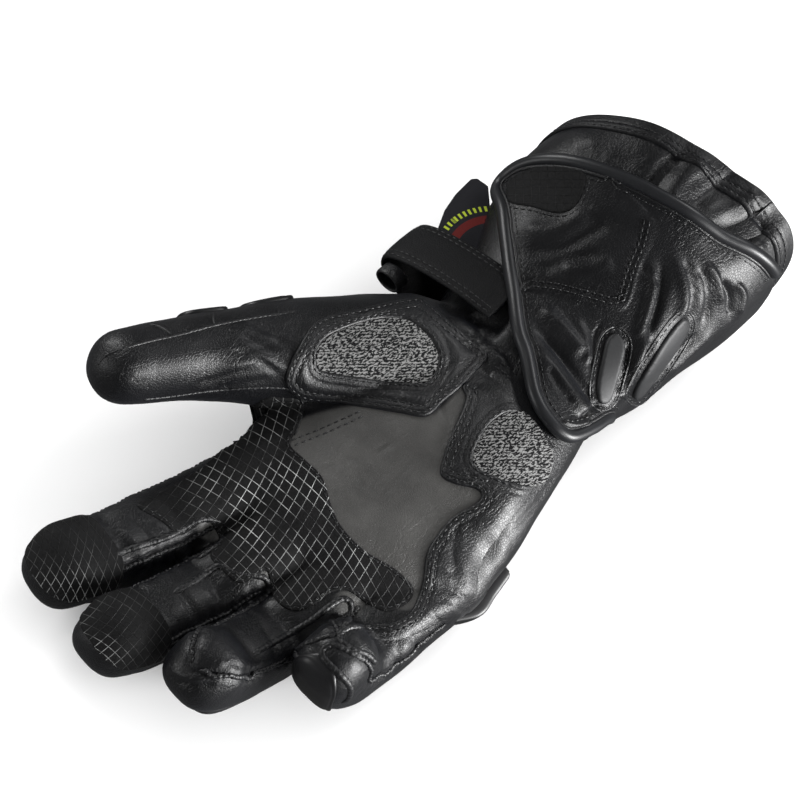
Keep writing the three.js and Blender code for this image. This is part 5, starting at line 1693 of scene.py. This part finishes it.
def puckers(points):
    """Leather gathered by the finger seams: a groove under each seam and short waves beside it."""
    height = np.zeros(len(points))
    for row in FINGER_SEAMS:
        line = seam_places(*row)
        near = ((points > line.min(0) - 12) & (points < line.max(0) + 12)).all(1)
        gap, along = to_path(points[near], line)
        length = np.linalg.norm(np.diff(line, axis=0), axis=1).sum()
        wave = np.sin(along * length * 2 * np.pi / 5.2 + 1.7 * np.sin(along * 23))
        shown = smooth_step(along / 0.06)
        height[near] += (0.26 * wave * bell(gap - 3.0, 2.6) - 0.8 * bell(gap, 1.9)) * shown
    return height


def finger_seams(ridges, face):
    """Overcast seams along both sides of each finger, meeting at its tip."""
    for row in FINGER_SEAMS:
        places, normals = face.nearest(seam_places(*row))
        ridges.ridge(places, normals, 1.05, 0.1, beat=1.8, depth=0.42)


THUMB_SEAMS = (
    ((96, 366), (104, 356), (120, 349), (148, 341), (180, 334), (214, 325), (250, 318), (296, 311)),
    ((142, 400), (170, 397), (206, 392), (240, 389), (270, 388), (290, 390), (300, 398), (302, 412),
     (294, 436)),
)
THUMB_FOLDS = (
    ((148, 324), (158, 326), (168, 332), (172, 336)),
    ((214, 312), (213, 318), (214, 325)),
)
# Folded welts round the little finger and the crotches beside it
WELTS = (
    ((394, 625), (367, 627), (350, 627), (340, 634), (343, 643), (354, 650), (367, 655), (377, 664)),
    ((367, 662), (355, 655), (341, 647), (330, 645), (322, 650), (323, 658), (331, 667), (342, 677),
     (350, 687), (349, 697), (341, 704)),
    ((338, 634), (322, 638), (304, 645), (296, 653), (299, 663)),
    ((252, 655), (282, 638), (311, 621), (330, 606), (343, 599), (351, 604), (349, 618), (340, 632)),
    ((172, 594), (196, 580), (218, 566), (236, 574), (256, 576), (266, 580), (268, 592), (256, 604),
     (236, 614)),
    ((110, 556), (140, 546), (170, 536), (200, 520), (222, 524), (226, 536), (214, 548), (196, 560)),
)
SMALL_STITCHES = (
    ((494, 366), (502, 371), (510, 378)),
    ((500, 362), (508, 367), (516, 374)),
    ((290, 441), (318, 430), (345, 418), (364, 409)),
    ((293, 446), (321, 435), (348, 423), (366, 414)),
)


def hand_seams(ridges, sewing, face):
    """Raised seams of the thumb, little finger and web."""
    finger_seams(ridges, face)
    for line in THUMB_SEAMS:
        seam_line(ridges, face, line, 0.65, -0.25, beat=2.0, depth=0.22)
    for line in THUMB_FOLDS:
        seam_line(ridges, face, line, 0.55, -0.1)
    for line in WELTS:
        seam_line(ridges, face, line, 1.35, -0.35, beat=2.1, depth=0.14)
    for line in SMALL_STITCHES:
        sew_line(sewing, face, line, 0.1)


def hem_rows(sewing):
    """Two stitch rows round the hem."""
    turns = np.linspace(0, 2 * np.pi, 600)
    for y, grow, _ in HEM_ROWS:
        relief = cuff_relief(np.array([y - 0.5, y + 0.5]), turns[:-1]).mean(0)
        relief = np.append(relief, relief[:1])
        place = body_point(turns, y + 0 * turns, grow + relief)
        out = unit(body_point(turns, y + 0 * turns, grow + 3 + relief) - place)
        sewing.row(place, out, 0.12)


HEM_JOINS = ((660, 142), (762, 212))


def hem_joins(ridges):
    """The overlapped ends of the hem's band: a low ridge across it under each pixel."""
    turns = np.linspace(0, 2 * np.pi, 720)
    seen = to_photo(body_point(turns, 185 + 0 * turns, 1.0))[:, :2]
    y = np.linspace(181.5, 189.6, 12)
    for pixel in HEM_JOINS:
        turn = turns[np.hypot(*(seen - pixel).T).argmin()] + 0 * y
        relief = np.array([cuff_relief(np.array([k - 0.5, k + 0.5]), turn[:1])[:, 0].mean() for k in y])
        place = body_point(turn, y, 0.9 + relief)
        out = unit(body_point(turn, y, 3.9 + relief) - place)
        ridges.ridge(place, out, 0.5, -0.25)


# Studio. Lamps stand off the glove along the photograph's right, up and back, in metres; size, watts.
WORLD = 0.95
WORLD_IN_GLOSS = 0.045
FLOOR_IN_GLOSS = 0.09
LAMPS = (
    ("key softbox", 1.22, -0.48, 0.18, 0.50, 38.0),
    ("low softbox", 0.80, -0.80, 0.75, 0.40, 5.0),
    ("top softbox", -0.45, 0.95, 0.25, 0.40, 5.0),
    ("left softbox", -0.95, 0.15, 0.55, 0.40, 2.2),
    ("back softbox", 0.80, 0.75, 0.20, 0.30, 2.5),
)


def studio():
    """Pale floor and soft light."""
    floor_mesh = make_mesh("floor", np.array([(-3, -3, 0), (3, -3, 0), (3, 3, 0), (-3, 3, 0)], float),
                           np.array([[0, 1, 2, 3]]))
    floor = add_object("floor", floor_mesh)
    paint, tree, shader = new_material("pale floor", Roughness=0.9, Specular_IOR_Level=0.1)
    speck = noise(tree, coordinates(tree), 6.0, 2)
    pale = ramp(tree, speck, [(0.3, 0.90), (0.7, 0.92)])
    rays = node(tree, "ShaderNodeLightPath")
    shown = mixed(tree, rays.outputs["Is Glossy Ray"], pale, (FLOOR_IN_GLOSS,) * 3)
    link(tree, shown, shader.inputs["Base Color"])
    floor.data.materials.append(paint)
    world = bpy.data.worlds.new("studio")
    world.use_nodes = True
    tree = world.node_tree
    background = tree.nodes["Background"]
    background.inputs["Color"].default_value = (1, 1, 1, 1)
    rays = node(tree, "ShaderNodeLightPath")
    shown = math(tree, "MULTIPLY_ADD", rays.outputs["Is Glossy Ray"], WORLD_IN_GLOSS - WORLD, WORLD)
    link(tree, shown, background.inputs["Strength"])
    bpy.context.scene.world = world
    aim = (LOOK_AT + SHIFT) * MILLIMETRE
    for name, right, up, back, size, power in LAMPS:
        place = aim + right * RIGHT + up * UP + back * BACK
        lamp = bpy.data.lights.new(name, "AREA")
        lamp.size = size
        lamp.energy = power
        thing = bpy.data.objects.new(name, lamp)
        thing.location = place
        thing.rotation_euler = Vector(aim - place).to_track_quat("-Z", "Y").to_euler()
        bpy.context.scene.collection.objects.link(thing)
    bpy.context.scene.view_settings.view_transform = "Standard"


def photo_camera():
    """Camera at the photograph's place. Its aim goes through the frame's middle, and the lens is the
    focal length in pixels over the frame's width."""
    focal = PIXELS_PER_MM * DISTANCE
    across, down = (PHOTO_MIDDLE - LENS_MIDDLE[0]) / focal, (PHOTO_MIDDLE - LENS_MIDDLE[1]) / focal
    aim = unit(-BACK + across * RIGHT - down * UP)
    back = -aim
    right = unit(RIGHT - back * (RIGHT @ back))
    up = np.cross(back, right)
    data = bpy.data.cameras.new("camera")
    data.sensor_width = SENSOR
    data.lens = focal * SENSOR / (2 * PHOTO_MIDDLE)
    data.clip_end = 20
    camera = bpy.data.objects.new("camera", data)
    bpy.context.scene.collection.objects.link(camera)
    place = (CAMERA_PLACE + SHIFT) * MILLIMETRE
    camera.matrix_world = Matrix(np.column_stack([
        np.append(right, 0), np.append(up, 0), np.append(back, 0), np.append(place, 1),
    ]).tolist())
    bpy.context.scene.camera = camera


photo_camera()
studio()
stitches, seams = Sewing(), Sewing()
form = hand_form()
hand_skin(form)
hand_face = Carrier("hand", form)
palm_panels(stitches, hand_face)
hand_seams(seams, stitches, hand_face)
# Painted highlight and wear on the fingertip grips' printed ribs.
rub_and_highlight_mark(finger_tip_grip("index_tip", "index", 0.74, ("index_tip_grip",)), INDEX_RUB_AND_HIGHLIGHT)
rub_and_highlight_mark(finger_tip_grip("middle_tip", "middle", 0.76, ("middle_tip_grip",)), MIDDLE_RUB_AND_HIGHLIGHT)
back_pads()
knuckle_guard()
gauntlet_cuff()
cuff_hem()
hem_rows(stitches)
hem_joins(seams)
flap_face = cuff_flap()
flap_edge(stitches, flap_face)
flap_trims(stitches, flap_face)
wrist_strap(stitches)
strap_keeper()
woven_label()
stitches.make_stitches("stitches", seam_thread, "leather")
seams.make_ridges("raised_seams", panel_hide, "leather")
stitches.make_ridges("welts", panel_hide, "leather")
hand_face.remove()
flap_face.remove()
